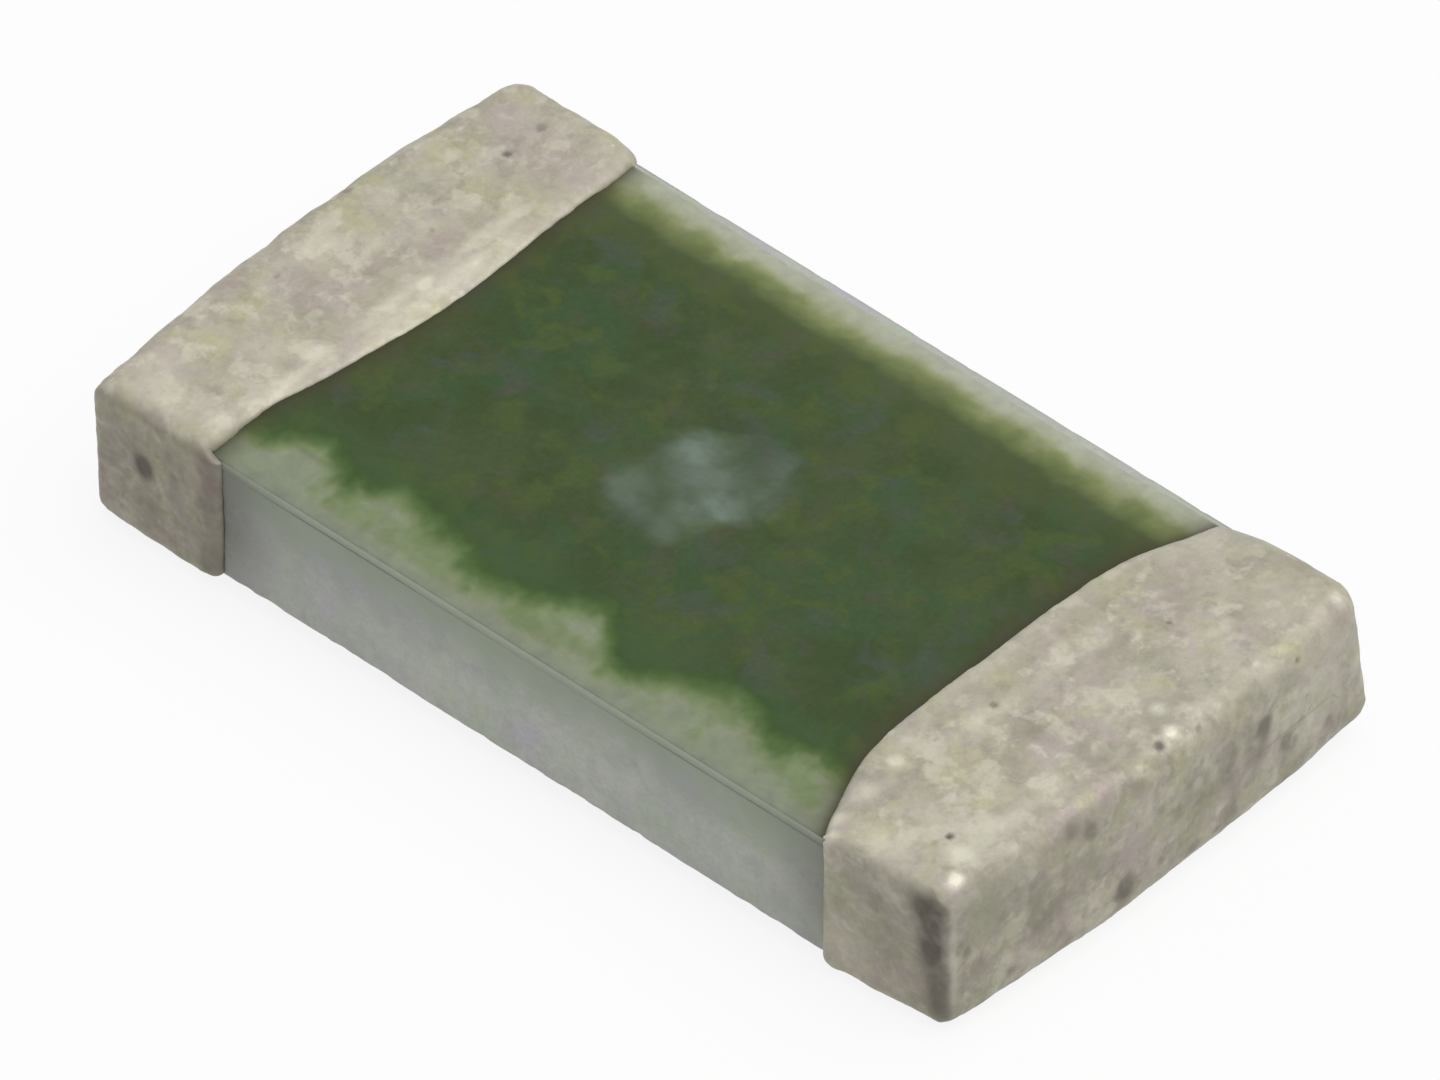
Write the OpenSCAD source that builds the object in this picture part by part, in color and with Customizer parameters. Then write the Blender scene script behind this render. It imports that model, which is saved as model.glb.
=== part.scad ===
// Surface-mount chip fuse: a ceramic block with a printed link on its top face, a green protective
// coat over the link, and a five-sided metal termination dipped and plated onto each end.
// The origin is the centre of the footprint on the solder plane. X runs from the left termination
// to the right one, Y across the width and Z up. All sizes are in millimetres.

/* [Package] */
// Overall length, from end face to end face at mid-width
package_l = 3.10; // [2.55:0.05:4.00]
// Overall width, over the terminations
package_w = 1.65; // [1.35:0.05:2.20]
// Overall height, from the solder lands to the top of the terminations
package_h = 0.50; // [0.40:0.01:0.80]

/* [Left termination] */
// Length of the termination along the top, at mid-width
band_left = 0.55; // [0.40:0.01:0.70]
// How far the rim bows towards the middle of the part, across the width
rim_bow_left = 0.050; // [0.020:0.005:0.120]
// Rounding of the end face into the top and the bottom
end_edge_r_left = 0.08; // [0.06:0.01:0.12]
// Rounding of the upright corners
corner_r_left = 0.08; // [0.07:0.01:0.16]

/* [Right termination] */
// Length of the termination along the top, at mid-width
band_right = 0.61; // [0.40:0.01:0.72]
// How far the rim bows towards the middle of the part, across the width
rim_bow_right = 0.100; // [0.020:0.005:0.120]
// Rounding of the end face into the top and the bottom
end_edge_r_right = 0.11; // [0.06:0.01:0.12]
// Rounding of the upright corners
corner_r_right = 0.11; // [0.07:0.01:0.16]

/* [Both terminations] */
// Rounding of the rim's corners as seen from above, which draws it back at the long edges
rim_corner_r = 0.14; // [0.08:0.01:0.20]
// Rounding of the rim's nose above and below
rim_nose_r = 0.045; // [0.035:0.005:0.060]
// How far each end face bulges from its upright edges to its middle
end_bow = 0.035; // [0.015:0.005:0.060]
// Rounding of the long edges of the terminations
long_edge_r = 0.07; // [0.05:0.01:0.09]

/* [Metal layers] */
// Thickness of the dipped silver base on the side faces
silver_t = 0.022; // [0.018:0.001:0.030]
// Thickness of the nickel barrier
nickel_t = 0.006; // [0.004:0.001:0.010]
// Thickness of the tin plating
tin_t = 0.009; // [0.006:0.001:0.014]

/* [Ceramic block] */
// Rounding of the ceramic's upright corners
substrate_corner_r = 0.06; // [0.04:0.01:0.08]
// Bevel that the scribe line leaves along the long top edges
scribe_bevel = 0.012; // [0.006:0.001:0.020]

/* [Printed pads] */
// Thickness of the printed pads on both faces
electrode_t = 0.010; // [0.006:0.001:0.014]
// Width of the printed pads
electrode_w = 1.20; // [0.90:0.02:1.24]
// Length of each top pad, from the end of the ceramic
top_electrode_l = 0.66; // [0.56:0.02:0.80]
// Length of each back pad, from the end of the ceramic
back_electrode_l = 0.38; // [0.28:0.02:0.46]

/* [Fuse link] */
// Thickness of the printed link
link_t = 0.005; // [0.003:0.001:0.008]
// Width of the link away from its neck
link_w = 0.62; // [0.40:0.02:0.90]
// Width of the neck, where the link melts
neck_w = 0.12; // [0.06:0.01:0.24]
// Radius of the two round notches that form the neck
neck_notch_r = 0.30; // [0.18:0.01:0.36]
// Length over which the link lies on each top pad
link_lap = 0.10; // [0.06:0.01:0.16]

/* [Glass layers] */
// Thickness of the glass plate under the link
underglaze_t = 0.009; // [0.006:0.001:0.012]
// Length of the glass plate under the link
underglaze_l = 1.10; // [0.90:0.02:1.20]
// Width of the glass plate under the link
underglaze_w = 1.00; // [0.80:0.02:1.20]
// Thickness of the glass over the neck
passivation_t = 0.005; // [0.003:0.001:0.008]
// Margin between the edges of the two glass layers
passivation_margin = 0.08; // [0.04:0.01:0.16]

/* [Green coat] */
// Height of the coat's crown above the ceramic
coat_t = 0.030; // [0.026:0.001:0.034]
// Width left bare beside the coat at each long edge, as a mean of the two edges
coat_margin = 0.105; // [0.095:0.005:0.165]
// Sideways offset of the coat towards the near long edge
coat_shift = 0.03; // [0.00:0.01:0.05]
// How far the coat's top falls from its crown to its long edges
coat_fall = 0.010; // [0.004:0.001:0.014]
// Length by which the coat reaches in under each rim
coat_tuck = 0.08; // [0.07:0.01:0.10]
// Height of the waves along the coat's near edge
near_wave = 0.012; // [0.004:0.001:0.016]
// Height of the waves along the coat's far edge
far_wave = 0.006; // [0.002:0.001:0.010]

/* [Marking] */
// Thickness of the worn print on the coat
marking_t = 0.002; // [0.001:0.001:0.004]
// Mean radius of the worn print
marking_r = 0.25; // [0.12:0.01:0.30]
// Place of its centre along the length
marking_x = -0.02; // [-0.20:0.01:0.20]
// Place of its centre across the width
marking_y = -0.02; // [-0.10:0.01:0.10]

/* [Hidden] */

// The two platings together, and all the metal on a side face
plating_t = nickel_t + tin_t;
wall_t = plating_t + silver_t;

// The ceramic lies inside the metal, and between the pads printed on its top and bottom
substrate_l = package_l - 2 * (wall_t + end_bow);
substrate_w = package_w - 2 * wall_t;
substrate_z0 = wall_t + electrode_t;
substrate_z1 = package_h - wall_t - electrode_t;

// Radius of the circle through an arc of that chord and rise
function arc_r(chord, rise) = (chord * chord / 4 + rise * rise) / (2 * rise);

end_r = arc_r(package_w, end_bow);

// What sets each termination apart: band length, radius of its rim's bow, and its two roundings
left_end = [band_left, arc_r(package_w, rim_bow_left), end_edge_r_left, corner_r_left];
right_end = [band_right, arc_r(package_w, rim_bow_right), end_edge_r_right, corner_r_right];

// A corner circle stands this far past the arc that it blends into, so that the two cross cleanly
blend_cross = 0.005;

// The places of the rims at mid-width, and the ends and the width of the coat
rim_left_x = -package_l / 2 + band_left;
rim_right_x = package_l / 2 - band_right;
coat_x0 = rim_left_x - coat_tuck;
coat_x1 = rim_right_x + coat_tuck;
coat_w = package_w - 2 * coat_margin;

// Lengths of the link's two halves, up to their laps on the top pads
link_half_l = substrate_l / 2 - top_electrode_l + link_lap;

// Wavelengths and phases that the uneven edges of the coat are summed from
near_waves = [[0.42, 30, 0.5], [0.27, 150, 0.3], [0.15, 80, 0.2]];
far_waves = [[0.60, 10, 0.6], [0.23, 200, 0.4]];
outline_step = 0.035;

// Flat faces that make up each bowed face and the coat's crown, an odd number so that one is in the middle
bow_faces = 3;
crown_faces = 15;

// Extra length of cutting bodies past what they cut, and the smoothness of round forms
over = 0.1;
small_fn = 48;

// Rectangle between two corner points with all four corners rounded
module rounded_rect(low, high, r) {
    size = high - low;
    translate(low + [r, 0]) square([size.x - 2 * r, size.y]);
    translate(low + [0, r]) square([size.x, size.y - 2 * r]);
    for (x = [low.x + r, high.x - r], y = [low.y + r, high.y - r])
        translate([x, y]) circle(r, $fn = small_fn);
}

// Profile of a bar that ends at depth in a flat face, whose edges are rounded into the heights z0 and z1.
// Behind the rounding the bar reaches past both heights, so that bars of unlike reach share no flat face.
module bar_profile(z0, z1, edge_r, depth, reach) {
    translate([0, z0 - reach]) square([depth - edge_r, z1 - z0 + 2 * reach]);
    translate([0, z0 + edge_r]) square([depth, z1 - z0 - 2 * edge_r]);
    for (z = [z0 + edge_r, z1 - edge_r])
        translate([depth - edge_r, z]) circle(edge_r, $fn = small_fn);
}

// Block whose face at distance r from the origin bows outwards, as a run of flat faces with rounded edges.
// Each face is the end of a bar with a reach of its own, and the block is what all bars share. Above and
// below it is left open, for a cut at z1 and z0.
module bowed_block(r, z0, z1, edge_r, depth) {
    step = 2 * asin(package_w / 2 / r) / bow_faces;
    intersection_for (i = [1 : bow_faces])
        rotate([0, 0, (i - (bow_faces + 1) / 2) * step])
            translate([r - depth, package_w, 0])
                rotate([90, 0, 0])
                    linear_extrude(2 * package_w) bar_profile(z0, z1, edge_r, depth, i * over);
}

// Mirror image of a plan point across the length of the part
function flip(point) = [point.x, -point.y];

// Plan of a right-hand termination: straight sides, with round corners blended into both bowed ends
module termination_plan(end, inset) {
    band = end[0];
    rim_r = end[1];
    corner_r = end[3];
    half_w = package_w / 2;
    end_c = [package_l / 2 - end_r, 0];
    rim_c = [package_l / 2 - band + rim_r, 0];
    outer_y = half_w - corner_r;
    inner_y = half_w - rim_corner_r;
    outer_x = end_c.x + sqrt(pow(end_r - corner_r + blend_cross, 2) - outer_y * outer_y);
    inner_x = rim_c.x - sqrt(pow(rim_r - rim_corner_r + blend_cross, 2) - inner_y * inner_y);
    outer_c = [outer_x, outer_y];
    inner_c = [inner_x, inner_y];
    outer_tip = outer_c + (outer_c - end_c) / norm(outer_c - end_c) * (corner_r + over);
    inner_tip = inner_c + (inner_c - rim_c) / norm(inner_c - rim_c) * (rim_corner_r + over);
    translate([inner_x, -half_w + inset]) square([outer_x - inner_x, 2 * (half_w - inset)]);
    for (side = [-1, 1]) {
        translate([outer_x, side * outer_y]) circle(corner_r - inset, $fn = small_fn);
        translate([inner_x, side * inner_y]) circle(rim_corner_r - inset, $fn = small_fn);
    }
    polygon([
        flip(inner_c), flip(outer_c), flip(outer_tip), outer_tip,
        outer_c, inner_c, inner_tip, flip(inner_tip)
    ]);
}

// Outer form of a right-hand termination, drawn in everywhere by inset from the tin surface
module termination_form(end, inset) {
    band = end[0];
    rim_r = end[1];
    end_edge_r = end[2];
    z0 = inset;
    z1 = package_h - inset;
    half_w = package_w / 2 - inset;
    depth = 2 * band;
    intersection() {
        translate([0, 0, -over]) linear_extrude(package_h + 2 * over) termination_plan(end, inset);
        translate([package_l / 2 - depth, 0, 0])
            rotate([90, 0, 90])
                linear_extrude(depth + over) rounded_rect([-half_w, z0], [half_w, z1], long_edge_r - inset);
        translate([package_l / 2 - end_r, 0, 0])
            bowed_block(end_r - inset, z0, z1, end_edge_r - inset, depth);
        translate([package_l / 2 - band + rim_r, 0, 0])
            rotate([0, 0, 180])
                bowed_block(rim_r - inset, z0, z1, rim_nose_r - inset, depth);
    }
}

// Right-hand form, or its mirror image for the left-hand end
module at_side(side) {
    mirror([side < 0 ? 1 : 0, 0, 0]) children();
}

module substrate_form() {
    half = [substrate_l / 2, substrate_w / 2];
    top_y = half.y - scribe_bevel;
    bevel_z = substrate_z1 - scribe_bevel;
    intersection() {
        translate([0, 0, substrate_z0])
            linear_extrude(substrate_z1 - substrate_z0) rounded_rect(-half, half, substrate_corner_r);
        rotate([90, 0, 90])
            linear_extrude(substrate_l + over, center = true)
                polygon([
                    [-half.y, 0], [half.y, 0], [half.y, bevel_z], [top_y, substrate_z1],
                    [-top_y, substrate_z1], [-half.y, bevel_z]
                ]);
    }
}

// Printed pads at the right-hand end, grown by grow where another layer is draped over them
module top_electrode_form(grow = 0) {
    translate([substrate_l / 2 - top_electrode_l - grow, -electrode_w / 2 - grow, substrate_z1])
        cube([top_electrode_l + grow, electrode_w + 2 * grow, electrode_t + grow]);
}

module back_electrode_form() {
    translate([substrate_l / 2 - back_electrode_l, -electrode_w / 2, substrate_z0 - electrode_t])
        cube([back_electrode_l, electrode_w, electrode_t]);
}

module underglaze_form(grow = 0) {
    half = [underglaze_l / 2 + grow, underglaze_w / 2 + grow];
    translate([0, 0, substrate_z1])
        linear_extrude(underglaze_t + grow) rounded_rect(-half, half, passivation_margin);
}

// What lies under the link: the glass plate and the two top pads
module link_bed(grow = 0) {
    underglaze_form(grow);
    for (side = [-1, 1])
        at_side(side) top_electrode_form(grow);
}

module link_outline() {
    difference() {
        square([2 * link_half_l, link_w], center = true);
        for (side = [-1, 1])
            translate([0, side * (neck_w / 2 + neck_notch_r)]) circle(neck_notch_r, $fn = small_fn);
    }
}

// The link drapes over its bed: down from the glass plate, along the ceramic and up onto the pads
module link_form() {
    difference() {
        intersection() {
            translate([0, 0, substrate_z1]) linear_extrude(coat_t) link_outline();
            union() {
                translate([-link_half_l, -link_w / 2, substrate_z1]) cube([2 * link_half_l, link_w, link_t]);
                link_bed(link_t);
            }
        }
        link_bed();
    }
}

// The glass over the neck flows level across the link and the plate under it
module passivation_form() {
    half = [underglaze_l / 2 - passivation_margin, underglaze_w / 2 - passivation_margin];
    translate([0, 0, substrate_z1])
        linear_extrude(underglaze_t + link_t + passivation_t)
            rounded_rect(-half, half, passivation_margin);
}

// Sum of sine waves, each given by its wavelength, phase and share
function ripple(x, waves, i = 0) =
    i == len(waves) ? 0 :
    waves[i][2] * sin(360 * x / waves[i][0] + waves[i][1]) + ripple(x, waves, i + 1);

module coat_outline() {
    count = ceil((coat_x1 - coat_x0) / outline_step);
    xs = [for (i = [0:count]) coat_x0 + (coat_x1 - coat_x0) * i / count];
    near_y = -coat_w / 2 - coat_shift;
    far_y = coat_w / 2 - coat_shift;
    near = [for (x = xs) [x, near_y + near_wave * ripple(x, near_waves)]];
    far = [for (i = [count:-1:0]) [xs[i], far_y + far_wave * ripple(xs[i], far_waves)]];
    polygon(concat(near, far));
}

// Space above the ceramic and under the coat's crown, which falls away in a parabola to the long edges
module crown_space(raise) {
    span = coat_w + 2 * near_wave;
    ts = [for (i = [0:crown_faces]) 2 * i / crown_faces - 1];
    crown = [for (t = ts) [-coat_shift - t * span / 2, substrate_z1 + coat_t + raise - coat_fall * t * t]];
    base = [[-coat_shift - span / 2, substrate_z1], [-coat_shift + span / 2, substrate_z1]];
    rotate([90, 0, 90])
        linear_extrude(package_l, center = true)
            polygon(concat(base, crown));
}

// The coat as one body on the flat ceramic, with what lies under it not yet taken out
module coat_form() {
    intersection() {
        translate([0, 0, substrate_z1]) linear_extrude(2 * coat_t) coat_outline();
        crown_space(0);
    }
}

// Uneven round patch of worn print
module marking_outline() {
    translate([marking_x, marking_y])
        polygon([
            for (a = [0:10:350])
                marking_r * (1 + 0.16 * sin(2 * a + 40) + 0.09 * sin(3 * a) + 0.05 * sin(5 * a + 70))
                    * [cos(a), sin(a)]
        ]);
}

// One metal layer of a termination, from one inset to another as counted from the tin surface.
// The innermost layer has no inner inset, because it lies on the ceramic itself.
module termination_layer(side, outer_inset, inner_inset = undef) {
    end = side < 0 ? left_end : right_end;
    difference() {
        at_side(side)
            difference() {
                termination_form(end, outer_inset);
                if (!is_undef(inner_inset))
                    termination_form(end, inner_inset);
                top_electrode_form();
                back_electrode_form();
            }
        substrate_form();
        coat_form();
    }
}

module ceramic_substrate() {
    color("silver") substrate_form();
}

module underglaze() {
    color("lightcyan") underglaze_form();
}

module fuse_link() {
    color("goldenrod") link_form();
}

module top_electrode_left() {
    color("gainsboro") at_side(-1) top_electrode_form();
}

module top_electrode_right() {
    color("gainsboro") at_side(1) top_electrode_form();
}

module back_electrode_left() {
    color("gainsboro") at_side(-1) back_electrode_form();
}

module back_electrode_right() {
    color("gainsboro") at_side(1) back_electrode_form();
}

module glass_passivation() {
    color("aquamarine")
        difference() {
            passivation_form();
            underglaze_form();
            link_form();
        }
}

module green_overcoat() {
    color("darkolivegreen")
        difference() {
            coat_form();
            link_bed();
            link_form();
            passivation_form();
        }
}

module marking() {
    color("lightsteelblue")
        difference() {
            intersection() {
                translate([0, 0, substrate_z1]) linear_extrude(2 * coat_t) marking_outline();
                crown_space(marking_t);
            }
            crown_space(0);
        }
}

module silver_termination_left() {
    color("lightgray") termination_layer(-1, plating_t);
}

module silver_termination_right() {
    color("lightgray") termination_layer(1, plating_t);
}

module nickel_barrier_left() {
    color("darkgray") termination_layer(-1, tin_t, plating_t);
}

module nickel_barrier_right() {
    color("darkgray") termination_layer(1, tin_t, plating_t);
}

module tin_plating_left() {
    color("tan") termination_layer(-1, 0, tin_t);
}

module tin_plating_right() {
    color("tan") termination_layer(1, 0, tin_t);
}

ceramic_substrate();
underglaze();
fuse_link();
top_electrode_left();
top_electrode_right();
back_electrode_left();
back_electrode_right();
glass_passivation();
green_overcoat();
marking();
silver_termination_left();
silver_termination_right();
nickel_barrier_left();
nickel_barrier_right();
tin_plating_left();
tin_plating_right();
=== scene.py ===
import math
import bpy
import numpy as np
from mathutils import Matrix, Vector


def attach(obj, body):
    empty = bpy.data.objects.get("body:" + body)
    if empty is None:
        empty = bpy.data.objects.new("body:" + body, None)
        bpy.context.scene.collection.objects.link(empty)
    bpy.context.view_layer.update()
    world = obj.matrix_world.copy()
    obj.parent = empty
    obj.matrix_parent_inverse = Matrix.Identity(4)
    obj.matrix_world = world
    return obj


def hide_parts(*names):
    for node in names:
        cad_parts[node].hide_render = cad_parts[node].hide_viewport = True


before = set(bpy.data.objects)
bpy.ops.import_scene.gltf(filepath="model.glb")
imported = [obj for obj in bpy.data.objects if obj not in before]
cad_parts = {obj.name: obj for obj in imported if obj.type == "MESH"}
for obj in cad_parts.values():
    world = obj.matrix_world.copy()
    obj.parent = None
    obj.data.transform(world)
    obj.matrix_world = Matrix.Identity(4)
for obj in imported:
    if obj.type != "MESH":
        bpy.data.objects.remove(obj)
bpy.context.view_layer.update()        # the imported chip, every node in place
mm = 0.001
print("frame loaded:", len(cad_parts), "nodes")

# Sizes of the whole chip in millimetres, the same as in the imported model
chip = dict(
    length=3.10, width=1.65, height=0.50,
    ceramicLength=2.956, ceramicWidth=1.576, ceramicBottom=0.047, ceramicTop=0.453,
    ceramicRound=0.020,      # rounding of the ceramic's long edges
)


# Helpers for noise, grids and meshes

latticeSide = 64         # random numbers along each side of the lattice, a power of two, before it repeats


def latticeNoise(points, size, seed):
    # Random numbers on a cubic lattice with that spacing, blended between the eight corners of the cell that
    # each point lies in by the smooth step 6 t^5 - 15 t^4 + 10 t^3. The result runs from 0 to 1.
    table = np.random.default_rng(seed).random((latticeSide,) * 3)
    q = np.asarray(points) / size + 31.7                # shifted, so that no lattice point lies in the middle
    cell = np.floor(q).astype(int)
    t = q - cell
    t = t * t * t * (t * (6 * t - 15) + 10)
    low, high = cell & (latticeSide - 1), (cell + 1) & (latticeSide - 1)
    total = 0.0
    for cx, cy, cz in [(i, j, k) for i in (0, 1) for j in (0, 1) for k in (0, 1)]:
        pick = table[(low, high)[cx][..., 0], (low, high)[cy][..., 1], (low, high)[cz][..., 2]]
        share = (t if cx else 1 - t)[..., 0] * (t if cy else 1 - t)[..., 1] * (t if cz else 1 - t)[..., 2]
        total = total + pick * share
    return total


def layeredNoise(points, size, seed, layers=4, fade=0.5):
    # Sum of lattice noises, each with half the spacing of the one before and fade times its weight
    total, weight = 0.0, 0.0
    for k in range(layers):
        total = total + fade ** k * latticeNoise(points, size / 2 ** k, seed + 11 * k)
        weight += fade ** k
    return total / weight


def smoothStep(low, high, value):
    # 0 below low, 1 above high, and a smooth S between them
    t = np.clip((value - low) / (high - low), 0, 1)
    return t * t * (3 - 2 * t)


def ringPath(flat, upright, corner):
    # Walk once round a rounded rectangle that starts and ends in the middle of its right side: shares of
    # the half width and half height at which each corner's centre lies, and the angle of the outward normal.
    half = upright // 2
    run = lambda a, b, n: np.linspace(a, b, n, endpoint=False)
    ones = np.ones
    y = [ones(half), ones(corner), run(1, -1, flat), -ones(corner), -ones(upright), -ones(corner),
         run(-1, 1, flat), ones(corner), ones(half)]
    z = [run(0, 1, half), ones(corner), ones(flat), ones(corner), run(1, -1, upright), -ones(corner),
         -ones(flat), -ones(corner), run(-1, 0, half)]
    a = [0 * ones(half), run(0, 90, corner), 90 * ones(flat), run(90, 180, corner), 180 * ones(upright),
         run(180, 270, corner), 270 * ones(flat), run(270, 360, corner), 360 * ones(half)]
    return np.concatenate(y), np.concatenate(z), np.radians(np.concatenate(a))


def ringQuads(rows, columns, first=0):
    # Four-cornered faces between each two neighbouring rings
    index = first + np.arange(rows)[:, None] * columns + np.arange(columns)
    after = np.roll(index, -1, axis=1)
    return np.stack([index[:-1], after[:-1], after[1:], index[1:]], -1).reshape(-1, 4)


def ringLid(ring):
    # A flat lid over a ring that is its own mirror image: each point is joined with the one opposite
    n = len(ring)
    j = np.arange(1, n // 2 - 1)
    quads = np.stack([ring[j], ring[j + 1], ring[n - 1 - j], ring[n - j]], -1)
    ends = [[ring[0], ring[1], ring[n - 1]], [ring[n // 2 - 1], ring[n // 2], ring[n // 2 + 1]]]
    return quads.tolist() + [[int(v) for v in e] for e in ends]


def gridNormals(p):
    # Unit normals of a grid of rings, from the cross product of its two directions
    along = np.gradient(p, axis=0)
    around = np.roll(p, -1, axis=1) - np.roll(p, 1, axis=1)
    n = np.cross(along, around)
    return n / np.maximum(np.linalg.norm(n, axis=-1, keepdims=True), 1e-12)


def makePiece(name, points, faces, attributes, nodes, material):
    # Puts the points, given in millimetres, into a mesh with all its faces outwards, smooth-shaded
    points = np.asarray(points, float)
    faces = [list(map(int, f)) for f in faces]
    tri = np.array([[f[0], f[k], f[k + 1]] for f in faces for k in range(1, len(f) - 1)])
    volume = (np.cross(points[tri[:, 0]], points[tri[:, 1]]) * points[tri[:, 2]]).sum() / 6
    if volume < 0:
        faces = [f[::-1] for f in faces]
    mesh = bpy.data.meshes.new(name)
    mesh.from_pydata((points * mm).tolist(), [], faces)
    mesh.polygons.foreach_set("use_smooth", np.ones(len(faces), bool))
    for key, value in attributes.items():
        layer = mesh.attributes.new(key, "FLOAT", "POINT")
        layer.data.foreach_set("value", np.asarray(value, np.float32).ravel())
    mesh.update()
    piece = bpy.data.objects.new(name, mesh)
    bpy.context.scene.collection.objects.link(piece)
    mesh.materials.append(material)
    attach(piece, "root")
    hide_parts(*nodes)
    print("made %s: %d triangles, %.4f mm3" % (name, len(tri), abs(volume)))


# Materials, all from nodes on Object coordinates and the pieces' own attributes

class Shading:
    # A small hand for wiring one material: each call adds a node and returns the socket that it gives

    def __init__(self, name, metallic=0.0, ior=1.5, specular=0.5):
        self.material = bpy.data.materials.new(name)
        self.material.use_nodes = True
        self.tree = self.material.node_tree
        self.shader = self.tree.nodes["Principled BSDF"]
        for key, value in (("Metallic", metallic), ("IOR", ior), ("Specular IOR Level", specular)):
            self.shader.inputs[key].default_value = value
        self.place = self.add("ShaderNodeTexCoord").outputs["Object"]

    def add(self, kind, **settings):
        node = self.tree.nodes.new(kind)
        for key, value in settings.items():
            setattr(node, key, value)
        return node

    def feed(self, socket, value):
        # Links a socket to the one given, or sets its fixed value or colour
        if isinstance(value, bpy.types.NodeSocket):
            self.tree.links.new(value, socket)
        elif isinstance(value, tuple) and socket.type == "RGBA":
            socket.default_value = (*value, 1)
        else:
            socket.default_value = value

    def noise(self, size, detail, rough, warp, seed):
        # Noise whose features are about that many millimetres across
        node = self.add("ShaderNodeTexNoise", noise_dimensions="4D")
        self.feed(node.inputs["Vector"], self.place)
        for key, value in (("Scale", 1 / (size * mm)), ("Detail", detail), ("Roughness", rough),
                           ("Distortion", warp), ("W", seed)):
            node.inputs[key].default_value = value
        return node.outputs["Fac"]

    def cells(self, size, seed):
        # Distance to the nearest of scattered points, which are about that many millimetres apart
        node = self.add("ShaderNodeTexVoronoi", voronoi_dimensions="4D")
        self.feed(node.inputs["Vector"], self.place)
        node.inputs["Scale"].default_value = 1 / (size * mm)
        node.inputs["W"].default_value = seed
        return node.outputs["Distance"]

    def attribute(self, name):
        return self.add("ShaderNodeAttribute", attribute_name=name).outputs["Fac"]

    def spread(self, value, low, high, toLow=0.0, toHigh=1.0):
        # Smooth S from toLow, where the value is low, to toHigh, where it is high
        node = self.add("ShaderNodeMapRange", interpolation_type="SMOOTHSTEP")
        keys = ("Value", "From Min", "From Max", "To Min", "To Max")
        for key, v in zip(keys, (value, low, high, toLow, toHigh)):
            self.feed(node.inputs[key], v)
        return node.outputs["Result"]

    def math(self, operation, a, b):
        node = self.add("ShaderNodeMath", operation=operation)
        self.feed(node.inputs[0], a)
        self.feed(node.inputs[1], b)
        return node.outputs[0]

    def times(self, a, b):
        return self.math("MULTIPLY", a, b)

    def mix(self, share, a, b):
        # Colour a with that share of colour b over it
        node = self.add("ShaderNodeMix", data_type="RGBA")
        sockets = {s.identifier: s for s in node.inputs}
        self.feed(sockets["Factor_Float"], share)
        self.feed(sockets["A_Color"], a)
        self.feed(sockets["B_Color"], b)
        return [s for s in node.outputs if s.identifier == "Result_Color"][0]

    def clouds(self, colour, clouds, detail, rough, warp, within=None):
        # Lays a look's clouds over a colour, one after the other, where given only within a share
        for size, seed, low, high, share, tone in clouds:
            cloud = self.spread(self.noise(size, detail, rough, warp, seed), low, high, 0, share)
            colour = self.mix(self.times(cloud, within) if within else cloud, colour, tone)
        return colour

    def scaled(self, colour, factor):
        node = self.add("ShaderNodeVectorMath", operation="SCALE")
        self.feed(node.inputs[0], colour)
        self.feed(node.inputs["Scale"], factor)
        return node.outputs[0]

    def bump(self, height, depth):
        # Relief of that depth in millimetres
        node = self.add("ShaderNodeBump")
        node.inputs["Distance"].default_value = depth * mm
        self.feed(node.inputs["Height"], height)
        return node.outputs["Normal"]

    def finish(self, colour, roughness, normal):
        for key, value in (("Base Color", colour), ("Roughness", roughness), ("Normal", normal)):
            self.feed(self.shader.inputs[key], value)
        return self.material


# Looks of the finishes. Their clouds are given as size in millimetres, seed, two thresholds, share and tone.

tinLook = dict(
    base=((0.402, 0.370, 0.290), (0.468, 0.440, 0.355)),                # two tones, in broad clouds
    clouds=[(0.17, 2, 0.48, 0.63, 0.75, (0.438, 0.378, 0.352)),         # pinkish, greenish, dark, pale, dark
            (0.15, 3, 0.49, 0.63, 0.75, (0.446, 0.430, 0.274)),
            (0.11, 4, 0.51, 0.64, 0.60, (0.315, 0.292, 0.228)),
            (0.085, 12, 0.52, 0.63, 0.70, (0.565, 0.535, 0.430)),
            (0.055, 13, 0.54, 0.64, 0.45, (0.300, 0.282, 0.225))],
    # the same on the upright faces only, which are more stained
    uprightClouds=[(0.13, 14, 0.47, 0.62, 0.65, (0.352, 0.356, 0.232)),
                   (0.14, 15, 0.48, 0.62, 0.60, (0.382, 0.328, 0.304)),
                   (0.11, 16, 0.50, 0.63, 0.60, (0.262, 0.242, 0.184)),
                   (0.11, 17, 0.53, 0.64, 0.50, (0.520, 0.495, 0.400))],
    pink=(0.388, 0.318, 0.298), green=(0.322, 0.322, 0.225),
    # the stain and soil tones also serve as painted shade
    stainAndShade=(0.086, 0.076, 0.058), dirtAndShade=(0.175, 0.155, 0.125), pit=(0.14, 0.12, 0.10),
    wearAndHighlight=(0.665, 0.635, 0.515), polish=0.12,          # tone of rubbed places and painted highlights, and how much smoother
    metallic=0.25, specular=0.3, roughness=(0.60, 0.50),
    relief=0.0021,                                      # depth of the speckle and grain, in millimetres
)


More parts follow.
